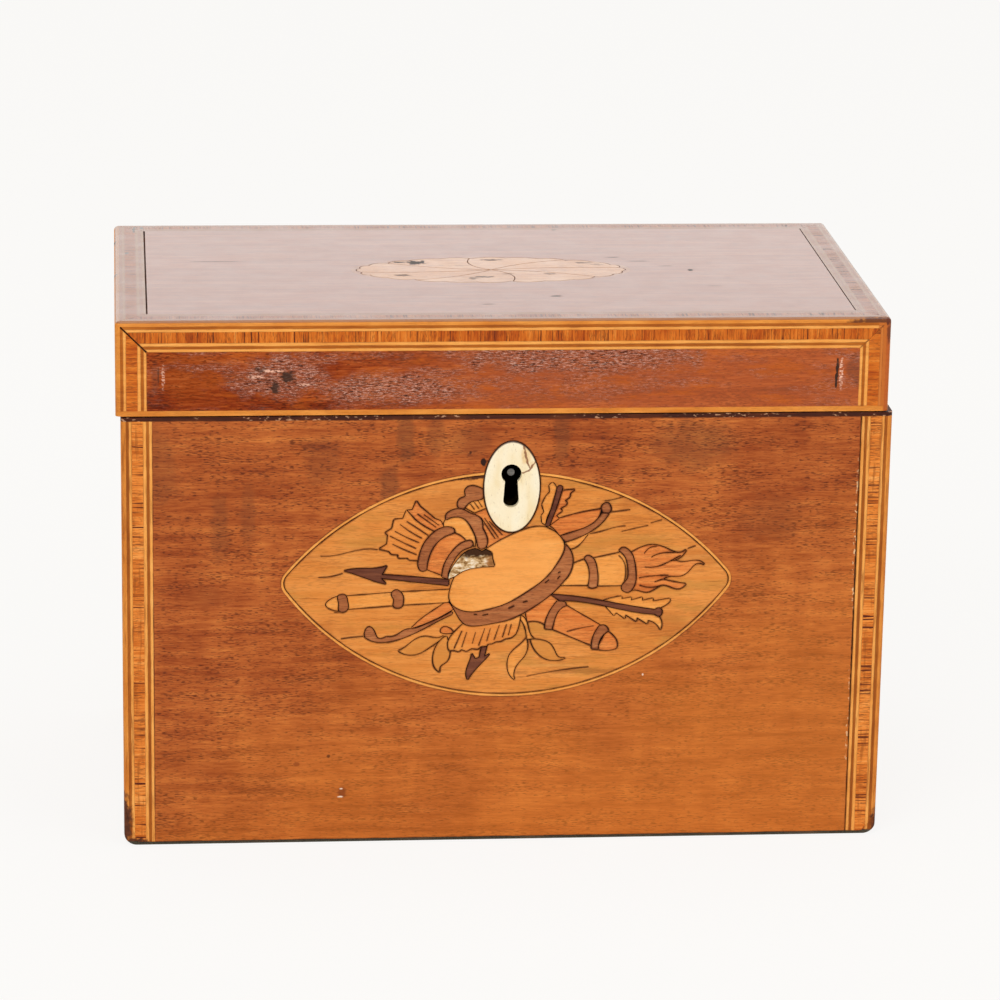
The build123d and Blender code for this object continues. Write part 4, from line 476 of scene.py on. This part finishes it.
def front_marks(look, colour):
    """The front field: golden and smoky patches, smudges below the rim, dark gaps with pale crumbs at its
    ends, and a few reddish, pale and dark spots."""
    x, _, z = look.split(look.place)
    slant = look.math("SUBTRACT", look.scaled(x, 0.35), z)
    cloud = look.swing(look.noise(look.place, (30, 30, 16), 3.0), 60.0)
    golden = look.remap(look.total(slant, cloud), -80.0, 10.0)
    colour = look.mix(golden, colour, look.mix(0.42, colour, (226, 132, 46)))
    smudge = look.spots(((-25.5, 106, 3.0, 9, 0.5), (-18, 106, 2.5, 8, 0.35), (13, 106, 2.6, 9, 0.45),
                         (-29.5, 93.5, 3, 7, 0.45), (-71, 83, 3, 12, 0.35), (-64, 86, 2.5, 10, 0.3),
                         (46, 103, 13, 8, 0.4), (-86, 98, 7, 14, 0.3), (-46, 100, 6, 9, 0.25),
                         (66, 84, 10, 8, 0.2), (-10, 104, 8, 5, 0.3)), ragged=0.9, grit=3.0)
    colour = look.mix(smudge, colour, (104, 58, 34))
    red = look.spots(((-40.6, 13.4, 1.5, 1.9, 0.6), (-52, 21, 1.0, 0.7, 0.5), (-75, 65, 8, 4, 0.3)),
                     ragged=0.9)
    colour = look.mix(red, colour, (110, 44, 18))
    pale = look.spots(((-41, 12.2, 1.0, 0.3, 1.0), (-40.8, 14.3, 0.6, 0.25, 0.9),
                       (34.5, 43.5, 0.3, 0.4, 0.9)), ragged=0.6, grit=0.6)
    colour = look.mix(pale, colour, (244, 222, 196))
    gap = look.spots(((87.4, 58, 0.55, 52, 1.3), (-87.4, 40, 0.3, 44, 0.7)), ragged=1.1, grit=1.4)
    colour = look.mix(gap, colour, (62, 26, 12))
    pale_bits = look.spots(((86.9, 78, 0.6, 24, 1.0), (86.7, 30, 0.4, 20, 0.7)), ragged=1.2, grit=0.8)
    broken = look.remap(look.noise(look.place, (0.8, 0.8, 1.3), 2.0), 0.56, 0.62)
    colour = look.mix(look.math("MULTIPLY", pale_bits, broken), colour, (236, 190, 140))
    dark = look.spots(((-6.2, 99.0, 0.9, 1.3, 1.4), (-44, 23, 0.6, 0.6, 0.7), (88.7, 92, 0.5, 0.7, 0.9),
                       (-9.5, 101.5, 0.5, 0.5, 0.8)), ragged=0.9, grit=0.8)
    return look.mix(dark, colour, (44, 20, 12))


def lid_front_marks(look, colour):
    """Crazed and scuffed shellac: lighter patches, dark flecks where it is rubbed, pale flecks there that
    are painted highlights, and holes and scars with pale crumbs beside them."""
    x, _, z = look.split(look.place)
    colour = look.mix(look.remap(x, -50.0, 10.0, 0.0, 0.5), colour, (192, 102, 60))
    glow = look.remap(look.noise(look.place, (14, 14, 2.5), 4.0, 0.65), 0.5, 0.66, 0.0, 0.5)
    colour = look.mix(glow, colour, (196, 96, 32))
    smooth = look.spots(((-78, 121, 9, 9, 0.45),), ragged=0.8, grit=5.0)
    colour = look.mix(smooth, colour, (150, 66, 14))
    dark = look.remap(look.noise(look.place, (2.4, 2.4, 0.36), 5.0, 0.8), 0.47, 0.6)
    upper = look.remap(z, 112.0, 124.0, 0.35, 1.0)
    cloud = look.remap(look.noise(look.place, (16, 16, 5), 3.0, 0.6), 0.46, 0.62)
    rubbed = look.highest(look.spots(((-56, 121, 15, 7, 1.0), (-28, 118, 24, 5, 1.0), (18, 126, 40, 6, 1.0)),
                                     ragged=1.0, grit=5.0),
                          look.scaled(look.math("MULTIPLY", cloud, upper), 0.6))
    colour = look.mix(look.scaled(rubbed, 0.5), colour, (150, 86, 64))
    colour = look.mix(look.math("MULTIPLY", dark, rubbed), colour, (50, 16, 10))
    # Painted highlights: pale pinkish flecks where the crazed shellac is rubbed, standing in for glints of
    # light.
    painted_glint = look.remap(look.noise(look.place, (1.2, 1.2, 0.3), 5.0, 0.85), 0.5, 0.62)
    pale = look.mix(look.noise(look.place, 3.0), (206, 140, 116), (240, 196, 178))
    colour = look.mix(look.scaled(look.math("MULTIPLY", painted_glint, rubbed), 0.8), colour, pale)
    rough = look.spots(((85, 122, 2.6, 4.6, 0.8), (-86.5, 121, 1.2, 5.0, 0.5)), ragged=0.9)
    rough = look.math("MULTIPLY", rough, look.remap(dark, 0.0, 0.6, 0.5, 1.0))
    colour = look.mix(rough, colour, (112, 66, 50))
    hole = look.spots(((-54.5, 120.8, 2.2, 2.2, 0.9), (-57.5, 118.2, 1.4, 2.2, 0.9),
                       (-61, 122.8, 2.4, 0.9, 0.6), (80.7, 122.4, 0.5, 2.8, 1.6),
                       (80.5, 119.5, 0.4, 2.8, 1.6), (-85.7, 121.5, 0.3, 3.4, 0.6)), ragged=1.4, grit=1.1)
    colour = look.mix(hole, colour, (62, 44, 36))
    pale_bits = look.spots(((-58, 122.5, 3.0, 0.5, 0.9), (-62, 121, 3.0, 0.5, 0.8), (-50, 119, 3.4, 0.4, 0.7),
                        (81.7, 121, 0.6, 4.4, 1.2), (-84.6, 121, 0.5, 4.0, 0.7)), ragged=1.2, grit=0.8)
    broken = look.remap(look.noise(look.place, (0.7, 0.7, 0.3), 2.0), 0.42, 0.56)
    return look.mix(look.math("MULTIPLY", pale_bits, broken), colour, (238, 186, 160))


def leaf_marks(look, colour):
    """The leaves, of much the same tone as the ground, the more orange fans and the pale drum head."""
    leaf = look.spots(((-19.5, 49, 9, 8, 0.75), (10.5, 48.5, 8.5, 10, 0.75)), ragged=0.3)
    colour = look.mix(leaf, colour, (206, 130, 56))
    fan = look.spots(((-27, 78, 13, 12, 0.45), (-4.5, 54, 11, 6.5, 0.5)), ragged=0.3)
    colour = look.mix(fan, colour, (218, 122, 52))
    skin = look.spots(((1.1, 69.8, 19, 15, 0.5),), ragged=0.3)
    return look.mix(skin, colour, (254, 172, 90))


def lid_top_marks(look, colour):
    """Fine scratches, and dents that go through the polish."""
    scratch = look.remap(look.noise(look.place, (9.0, 0.25, 9.0), 2.0), 0.62, 0.72, 0.0, 0.35)
    colour = look.mix(scratch, colour, (70, 40, 30))
    dent = look.spots(((50.5, -1.5, 0.8, 1.2, 2.0), (13.3, -29, 2.0, 0.9, 1.0), (-4, -37, 2.4, 0.6, 0.7),
                       (32, 13, 3.0, 0.5, 0.9), (38, 8.5, 4.0, 0.45, 0.8), (44.5, 3.0, 3.0, 0.4, 0.8),
                       (20, 45, 0.8, 0.9, 0.9), (54, -19, 2.4, 0.5, 0.6), (-70, 10, 9, 0.35, 0.8)),
                      flat="z", ragged=0.8)
    look.tree.links.new(look.math("SUBTRACT", 1.0, dent), look.shader.inputs["Coat Weight"])
    return look.mix(dent, colour, (40, 26, 20))


def lid_oval_marks(look, colour):
    """Dark losses in the inlay, where the polish is gone too."""
    stain = look.spots(((-19, 8.0, 2.8, 2.4, 2.0), (-23, 8.5, 2.6, 0.8, 1.2), (-23.5, -6, 3.0, 1.3, 0.8),
                        (-3, -8, 3.2, 1.2, 0.8), (-6, -9.5, 2.0, 1.6, 0.7), (0.5, 10.5, 3.4, 0.9, 0.9),
                        (24, 7, 3.2, 1.0, 0.7), (27, 5, 2.0, 1.2, 0.5), (14, -5, 2.4, 1.0, 0.7),
                        (3.5, -5, 2.0, 1.0, 0.5), (-8, 4, 4.0, 0.5, 0.5)), flat="z", ragged=1.9, grit=1.3)
    look.tree.links.new(look.math("SUBTRACT", 1.0, stain), look.shader.inputs["Coat Weight"])
    return look.mix(stain, colour, (52, 40, 32))


# Tones from dark to light: the place of each in the ramp, and its colour.
MAHOGANY = ((0.0, (100, 38, 12)), (0.3, (148, 68, 26)), (0.55, (180, 94, 42)), (1.0, (226, 136, 64)))
RED_MAHOGANY = ((0.0, (66, 14, 2)), (0.35, (132, 50, 14)), (0.6, (166, 78, 34)), (1.0, (214, 124, 68)))
TOP_MAHOGANY = ((0.0, (98, 38, 10)), (0.5, (138, 66, 28)), (1.0, (172, 98, 56)))
BROWN_MAHOGANY = ((0.0, (60, 32, 18)), (0.4, (98, 58, 34)), (0.7, (122, 76, 46)), (1.0, (148, 98, 62)))
BOXWOOD = ((0.0, (180, 92, 22)), (0.4, (216, 130, 50)), (0.7, (232, 150, 66)), (1.0, (246, 170, 86)))
LIGHT_LINE = ((0.0, (214, 124, 46)), (0.4, (242, 160, 74)), (0.7, (251, 176, 90)), (1.0, (254, 196, 116)))
DARK_LINE = ((0.0, (110, 50, 8)), (0.5, (160, 86, 24)), (1.0, (196, 118, 44)))
CROSSBAND = ((0.0, (120, 50, 8)), (0.35, (204, 106, 32)), (0.6, (236, 140, 58)), (1.0, (252, 178, 96)))
LID_DARK_LINE = ((0.0, (126, 58, 8)), (0.5, (172, 92, 24)), (1.0, (204, 124, 46)))
LID_CROSSBAND = ((0.0, (104, 34, 2)), (0.35, (182, 82, 14)), (0.6, (216, 116, 34)), (1.0, (246, 160, 74)))
RIM = ((0.0, (30, 12, 6)), (0.5, (66, 28, 12)), (1.0, (120, 62, 28)))
SATINWOOD = ((0.0, (172, 94, 32)), (0.4, (218, 132, 57)), (0.65, (232, 149, 72)), (1.0, (244, 178, 102)))
LIGHT_WOOD = ((0.0, (212, 120, 42)), (0.4, (236, 150, 68)), (0.7, (246, 166, 84)), (1.0, (253, 186, 108)))
ORANGE_WOOD = ((0.0, (166, 72, 20)), (0.4, (218, 122, 56)), (0.7, (236, 144, 72)), (1.0, (248, 170, 96)))
RED_WOOD = ((0.0, (118, 62, 32)), (0.5, (172, 102, 58)), (1.0, (206, 136, 84)))
DARK_WOOD = ((0.0, (64, 28, 16)), (0.5, (110, 62, 42)), (1.0, (152, 92, 60)))
CEDAR = ((0.0, (104, 58, 30)), (0.4, (146, 90, 50)), (0.7, (166, 106, 62)), (1.0, (188, 130, 84)))
TOP_OVAL = ((0.0, (122, 72, 40)), (0.5, (158, 98, 60)), (1.0, (188, 130, 88)))
TOP_LEAF = ((0.0, (156, 98, 56)), (0.5, (200, 138, 88)), (1.0, (222, 166, 116)))
BRASS = ((0.3, (150, 112, 52)), (0.5, (196, 158, 84)), (0.75, (222, 188, 112)))
IRON = ((0.3, (74, 72, 70)), (0.5, (112, 110, 106)), (0.75, (146, 142, 138)))

# The outlines of the pieces: width, strength and colour.
SCORCH = (0.45, 0.8, (76, 30, 10))
LINE_DIRT = (0.3, 0.75, (120, 54, 12))
OVAL_DIRT = (0.35, 0.15, (96, 62, 46))

# The grain of narrow lines, small inlays and crossbands.
LINE_GRAIN = {"streak": (14.0, 1.0), "fine": (6.0, 0.4), "patch": 9.0, "weights": (0.35, 0.2, 0.4, 0.0),
              "wave": 0.3}
INLAY_GRAIN = {"streak": (16.0, 0.9), "fine": (6.0, 0.35), "patch": 12.0, "weights": (0.5, 0.25, 0.3, 0.0),
               "wave": 0.8}
BAND_GRAIN = {"streak": (14.0, 0.8), "fine": (7.0, 0.35), "patch": 9.0, "weights": (0.4, 0.35, 0.35, 0.0),
              "wave": 0.1, "pore": 0.5, "pore_size": (1.4, 0.16)}


def line_wood(name, tones, axes="xyz", **settings):
    """A thin line or edging."""
    return timber(name, tones, axes, pore_size=(1.5, 0.15), **settings, **LINE_GRAIN)


def escutcheon_marks(look, colour):
    """Yellowed cracks to the upper right of the keyhole, and dirt along the outline."""
    stain = look.spots(((4.2, 101.0, 1.8, 3.0, 0.55), (5.6, 98.2, 1.2, 1.2, 0.4), (-4, 85, 2.5, 2.0, 0.2)),
                       ragged=1.2)
    colour = look.mix(stain, colour, (232, 180, 96))
    for start, end, width in (((3.4, 96.2), (5.0, 96.8), 0.3), ((5.0, 96.8), (6.9, 99.6), 0.3),
                              ((3.7, 103.0), (4.6, 98.6), 0.35), ((4.6, 98.6), (5.2, 97.4), 0.25)):
        colour = look.mix(look.scaled(look.segment(start, end, width), 0.9), colour, (132, 76, 34))
    return look.mix(look.remap(look.away(*ESCUTCHEON), 0.955, 0.99), colour, (74, 42, 22))


def bone(name, marks=None):
    """Old bone with open pits, and marks(look, colour) for what lies on top."""
    look = Look(name, coat=0.2, coat_roughness=0.2)
    tone = look.noise(look.place, (3.0, 3.0, 9.0), 3.0)
    colour = look.ramp(tone, ((0.2, (242, 218, 164)), (0.5, (252, 237, 200)), (0.8, (253, 244, 216))))
    pit = look.remap(look.noise(look.place, (0.25, 0.25, 1.2), 1.0), 0.66, 0.78)
    colour = look.mix(look.scaled(pit, 0.35), colour, (150, 104, 62))
    if marks:
        colour = marks(look, colour)
    polish = look.remap(look.noise(look.place, 3.0), 0.3, 0.7, 0.25, 0.45)
    return look.finish(colour, look.math("SUBTRACT", 0.0, pit), 0.02, roughness=polish)


def metal(name, tones, tarnish, darkening=None):
    """Old metal: tones from dark to light, spots of tarnish, and darkening(look, colour) for the darkest
    places, such as painted shade."""
    look = Look(name, metallic=1.0)
    cloud = look.noise(look.place, 4.0, 4.0, 0.6)
    scratch = look.noise(look.place, (14.0, 0.25, 0.25), 2.0)
    colour = look.ramp(look.total(look.scaled(cloud, 0.7), look.scaled(scratch, 0.3)), tones)
    spots = look.remap(look.noise(look.place, 1.6, 3.0, 0.6), 0.55, 0.75)
    colour = look.mix(look.scaled(spots, 0.5), colour, tarnish)
    if darkening:
        colour = darkening(look, colour)
    polish = look.remap(cloud, 0.3, 0.7, 0.28, 0.55)
    return look.finish(colour, look.total(scratch, spots), 0.01, roughness=polish)


def keyhole_painted_shade(look, colour):
    """Painted shade: near-black on the lock where it shows through the keyhole."""
    # Painted shade inside the keyhole.
    return look.mix(look.spots(((0.7, 93, 9, 12, 1.0),), ragged=0.3), colour, (12, 9, 7))


def glue(name, dark, light):
    """Old glue with dust or wax on it, from dark to light."""
    look = Look(name, specular=0.1)
    tone = look.noise(look.place, 1.5, 3.0)
    colour = look.ramp(tone, ((0.35, dark), (0.65, light)))
    polish = look.remap(tone, 0.3, 0.7, 0.45, 0.7)
    return look.finish(colour, tone, 0.05, roughness=polish)


def filler(name):
    """Pale crumbling filler, with the wood that shows through and the grime above it."""
    look = Look(name, specular=0.1)
    tone = look.noise(look.place, (2.4, 2.4, 1.0), 5.0, 0.7)
    colour = look.ramp(tone, ((0.32, (60, 36, 18)), (0.42, (150, 108, 62)), (0.5, (214, 178, 128)),
                              (0.6, (244, 228, 202))))
    wood = look.spots(((-1.5, 73.5, 5.0, 5.0, 1.3),), ragged=1.0, grit=1.6)
    colour = look.mix(wood, colour, look.mix(tone, (70, 40, 20), (214, 146, 84)))
    darkening = look.spots(((-8, 76.5, 9, 2.4, 1.2),), ragged=1.0, grit=1.6)
    colour = look.mix(darkening, colour, (66, 42, 26))
    polish = look.remap(tone, 0.3, 0.7, 0.8, 0.5)
    return look.finish(colour, tone, 0.25, roughness=polish)


def baize(name):
    """Worn cloth."""
    look = Look(name, sheen=0.4)
    fuzz = look.noise(look.place, 0.35, 4.0, 0.7)
    worn = look.noise(look.place, 7.0, 3.0)
    colour = look.ramp(fuzz, ((0.3, (34, 30, 22)), (0.7, (84, 78, 58))))
    colour = look.mix(look.remap(worn, 0.45, 0.7, 0.0, 0.6), colour, (96, 78, 54))
    polish = look.remap(worn, 0.3, 0.7, 0.95, 0.8)
    return look.finish(colour, fuzz, 0.15, roughness=polish)


def paper(name):
    """Old marbled paper with brown spots."""
    look = Look(name)
    vein = look.noise(look.place, 12.0, 4.0, 0.55, 0.5)
    colour = look.ramp(vein, ((0.3, (132, 92, 66)), (0.46, (176, 138, 98)), (0.54, (196, 162, 118)),
                              (0.7, (146, 112, 84))))
    fibre = look.noise(look.place, 0.4, 3.0)
    fox = look.remap(look.noise(look.place, 2.2, 2.0), 0.68, 0.8, 0.0, 0.5)
    colour = look.mix(fox, colour, (120, 76, 40))
    polish = look.remap(fibre, 0.3, 0.7, 0.7, 0.9)
    return look.finish(colour, fibre, 0.03, roughness=polish)


def foil(name):
    """Dull creased foil."""
    look = Look(name, metallic=0.85)
    bend = look.node("TexNoise", {"Vector": look.place, "Scale": 0.15}).outputs[1]
    crease = look.cells(look.vector("ADD", look.place, look.vector("SCALE", bend, scale=6.0)), 7.0)
    cloud = look.noise(look.place, 6.0, 4.0)
    colour = look.ramp(cloud, ((0.3, (104, 104, 106)), (0.6, (150, 150, 152)), (0.8, (176, 176, 176))))
    polish = look.remap(cloud, 0.3, 0.7, 0.5, 0.35)
    return look.finish(colour, look.remap(crease, 0.0, 0.12), 0.15, roughness=polish)


def dress(material, *names):
    """Gives every face of the named pieces the material."""
    for name in names:
        for slot in NODES[name].material_slots:
            slot.material = material


def dress_body():
    dress(timber("carcass", BROWN_MAHOGANY, roughness=(0.55, 0.75), bump=0.06),
          "front_board", "back_board", "bottom_board", "lid_front_rail", "lid_back_rail", "lid_top_board")
    dress(timber("carcass_sides", BROWN_MAHOGANY, "yzx", roughness=(0.55, 0.75), bump=0.06),
          "side_boards", "lid_side_rails")
    dress(timber("front_mahogany", MAHOGANY, pore=0.75, pore_size=(1.5, 0.22), streak=(30.0, 2.2),
                 fine=(4.0, 0.35), patch=22.0, ripple=(7.0, 14.0), weights=(0.38, 0.4, 0.2, 0.22),
                 edge=(0.4, 0.7, (58, 22, 8)), marks=front_marks),
          "front_veneer")
    dress(timber("back_mahogany", MAHOGANY, weights=(0.5, 0.25, 0.4, 0.1)), "back_veneer")
    dress(timber("side_mahogany", MAHOGANY, "yzx", weights=(0.5, 0.3, 0.2, 0.05), wave=0.8), "side_veneers")
    dress(line_wood("corner_edging", BOXWOOD, "zxy", pore=0.15, marks=corner_wear), "body_corner_edging")
    dress(line_wood("light_lines", LIGHT_LINE, "zxy", pore=0.1, edge=LINE_DIRT, marks=corner_wear),
          "body_light_lines")
    dress(line_wood("dark_lines", DARK_LINE, "zxy", pore=0.2, marks=corner_wear), "body_dark_lines")
    dress(timber("body_crossband", CROSSBAND, band=False, marks=body_band_marks, **BAND_GRAIN),
          "body_crossbanding")
    dress(timber("rim", RIM, pore=0.3, marks=rim_glint_marks, roughness=(0.45, 0.65), **LINE_GRAIN), "rim_edging")
    dress(baize("baize"), "base_baize")


def dress_marquetry():
    dress(glue("glue", (14, 8, 5), (62, 34, 20)), "marquetry_bed")
    dress(glue("dusty_glue", (104, 76, 60), (164, 130, 108)), "lid_oval_bed")
    dress(timber("satinwood", SATINWOOD, pore=0.25, pore_size=(2.0, 0.15), streak=(28.0, 1.5),
                 fine=(10.0, 0.4), patch=16.0, weights=(0.35, 0.25, 0.25, 0.05), wave=1.2, edge=SCORCH,
                 marks=olive),
          "medallion_ground")
    dress(line_wood("stringing", LIGHT_LINE, pore=0.15, edge=LINE_DIRT), "medallion_stringing")
    for colour, tones, pore, marks in (("light", LIGHT_WOOD, 0.2, leaf_marks),
                                       ("orange", ORANGE_WOOD, 0.3, None),
                                       ("red", RED_WOOD, 0.4, None),
                                       ("dark", DARK_WOOD, 0.3, None)):
        dress(timber(colour + "_wood", tones, pore=pore, pore_size=(1.5, 0.14), edge=SCORCH, marks=marks,
                     **INLAY_GRAIN),
              "trophy_" + colour + "_woods")
    dress(filler("filler"), "drum_filler")
    dress(bone("cracked_bone", escutcheon_marks), "escutcheon")


def dress_lid():
    dress(timber("lid_front_mahogany", RED_MAHOGANY, pore=0.8, pore_size=(1.3, 0.24), fine=(4.0, 0.35),
                 weights=(0.5, 0.6, 0.35, 0.0), bump=0.08, specular=0.1, marks=lid_front_marks),
          "lid_front_veneer")
    dress(timber("lid_back_mahogany", RED_MAHOGANY, weights=(0.5, 0.3, 0.4, 0.0)), "lid_back_veneer")
    dress(timber("lid_side_mahogany", RED_MAHOGANY, "yzx", weights=(0.5, 0.3, 0.4, 0.0)), "lid_side_veneers")
    dress(timber("lid_top_mahogany", TOP_MAHOGANY, pore=0.3, weights=(0.35, 0.3, 0.04, 0.0), gloss="all",
                 roughness=(0.3, 0.36), bump=0.004, marks=lid_top_marks),
          "lid_top_veneer")
    # gloss "top" also paints shade on the upward faces of these pieces.
    dress(line_wood("lid_lines", LIGHT_LINE, pore=0.1, edge=LINE_DIRT, gloss="top", shade=0.8,
                    marks=lid_border_marks),
          "lid_light_lines")
    dress(line_wood("lid_dark_lines", LID_DARK_LINE, pore=0.2, gloss="top", marks=lid_border_marks),
          "lid_dark_lines")
    dress(line_wood("lid_edging", BOXWOOD, pore=0.15, gloss="top", marks=lid_edging_marks), "lid_edging")
    dress(timber("lid_crossband", LID_CROSSBAND, band=True, gloss="top", marks=lid_band_marks, **BAND_GRAIN),
          "lid_crossbanding")
    for name, tones, piece in (("lid_satinwood", TOP_OVAL, "lid_oval_ground"),
                               ("lid_leaf_wood", TOP_LEAF, "lid_oval_leaves")):
        dress(timber(name, tones, pore=0.3, edge=OVAL_DIRT, gloss="all", specular=0.3, marks=lid_oval_marks,
                     **INLAY_GRAIN),
              piece)
    dress(paper("lining_paper"), "lid_lining")


def dress_inside():
    dress(timber("cedar", CEDAR, roughness=(0.5, 0.7), bump=0.05), "partition", "linings_left",
          "linings_right", "inner_lid_left", "inner_lid_right")
    dress(bone("bone"), "knob_left", "knob_right")
    dress(foil("lead_foil"), "foil_linings")
    dress(metal("lock_brass", BRASS, (96, 72, 40), keyhole_painted_shade), "lock_case", "lock_cap")
    dress(metal("brass", BRASS, (96, 72, 40)), "lock_bolt", "link_plate", "hinge_body_leaves",
          "hinge_lid_leaves")
    dress(metal("iron", IRON, (84, 60, 44)), "lock_drill_pin", "lock_spring", "lock_screws", "hinge_pins",
          "hinge_body_screws", "lid_screws")


bpy.context.scene.view_settings.view_transform = "Standard"
add_camera()
add_lamps()
add_world()
add_floor()
dress_body()
dress_marquetry()
dress_lid()
dress_inside()
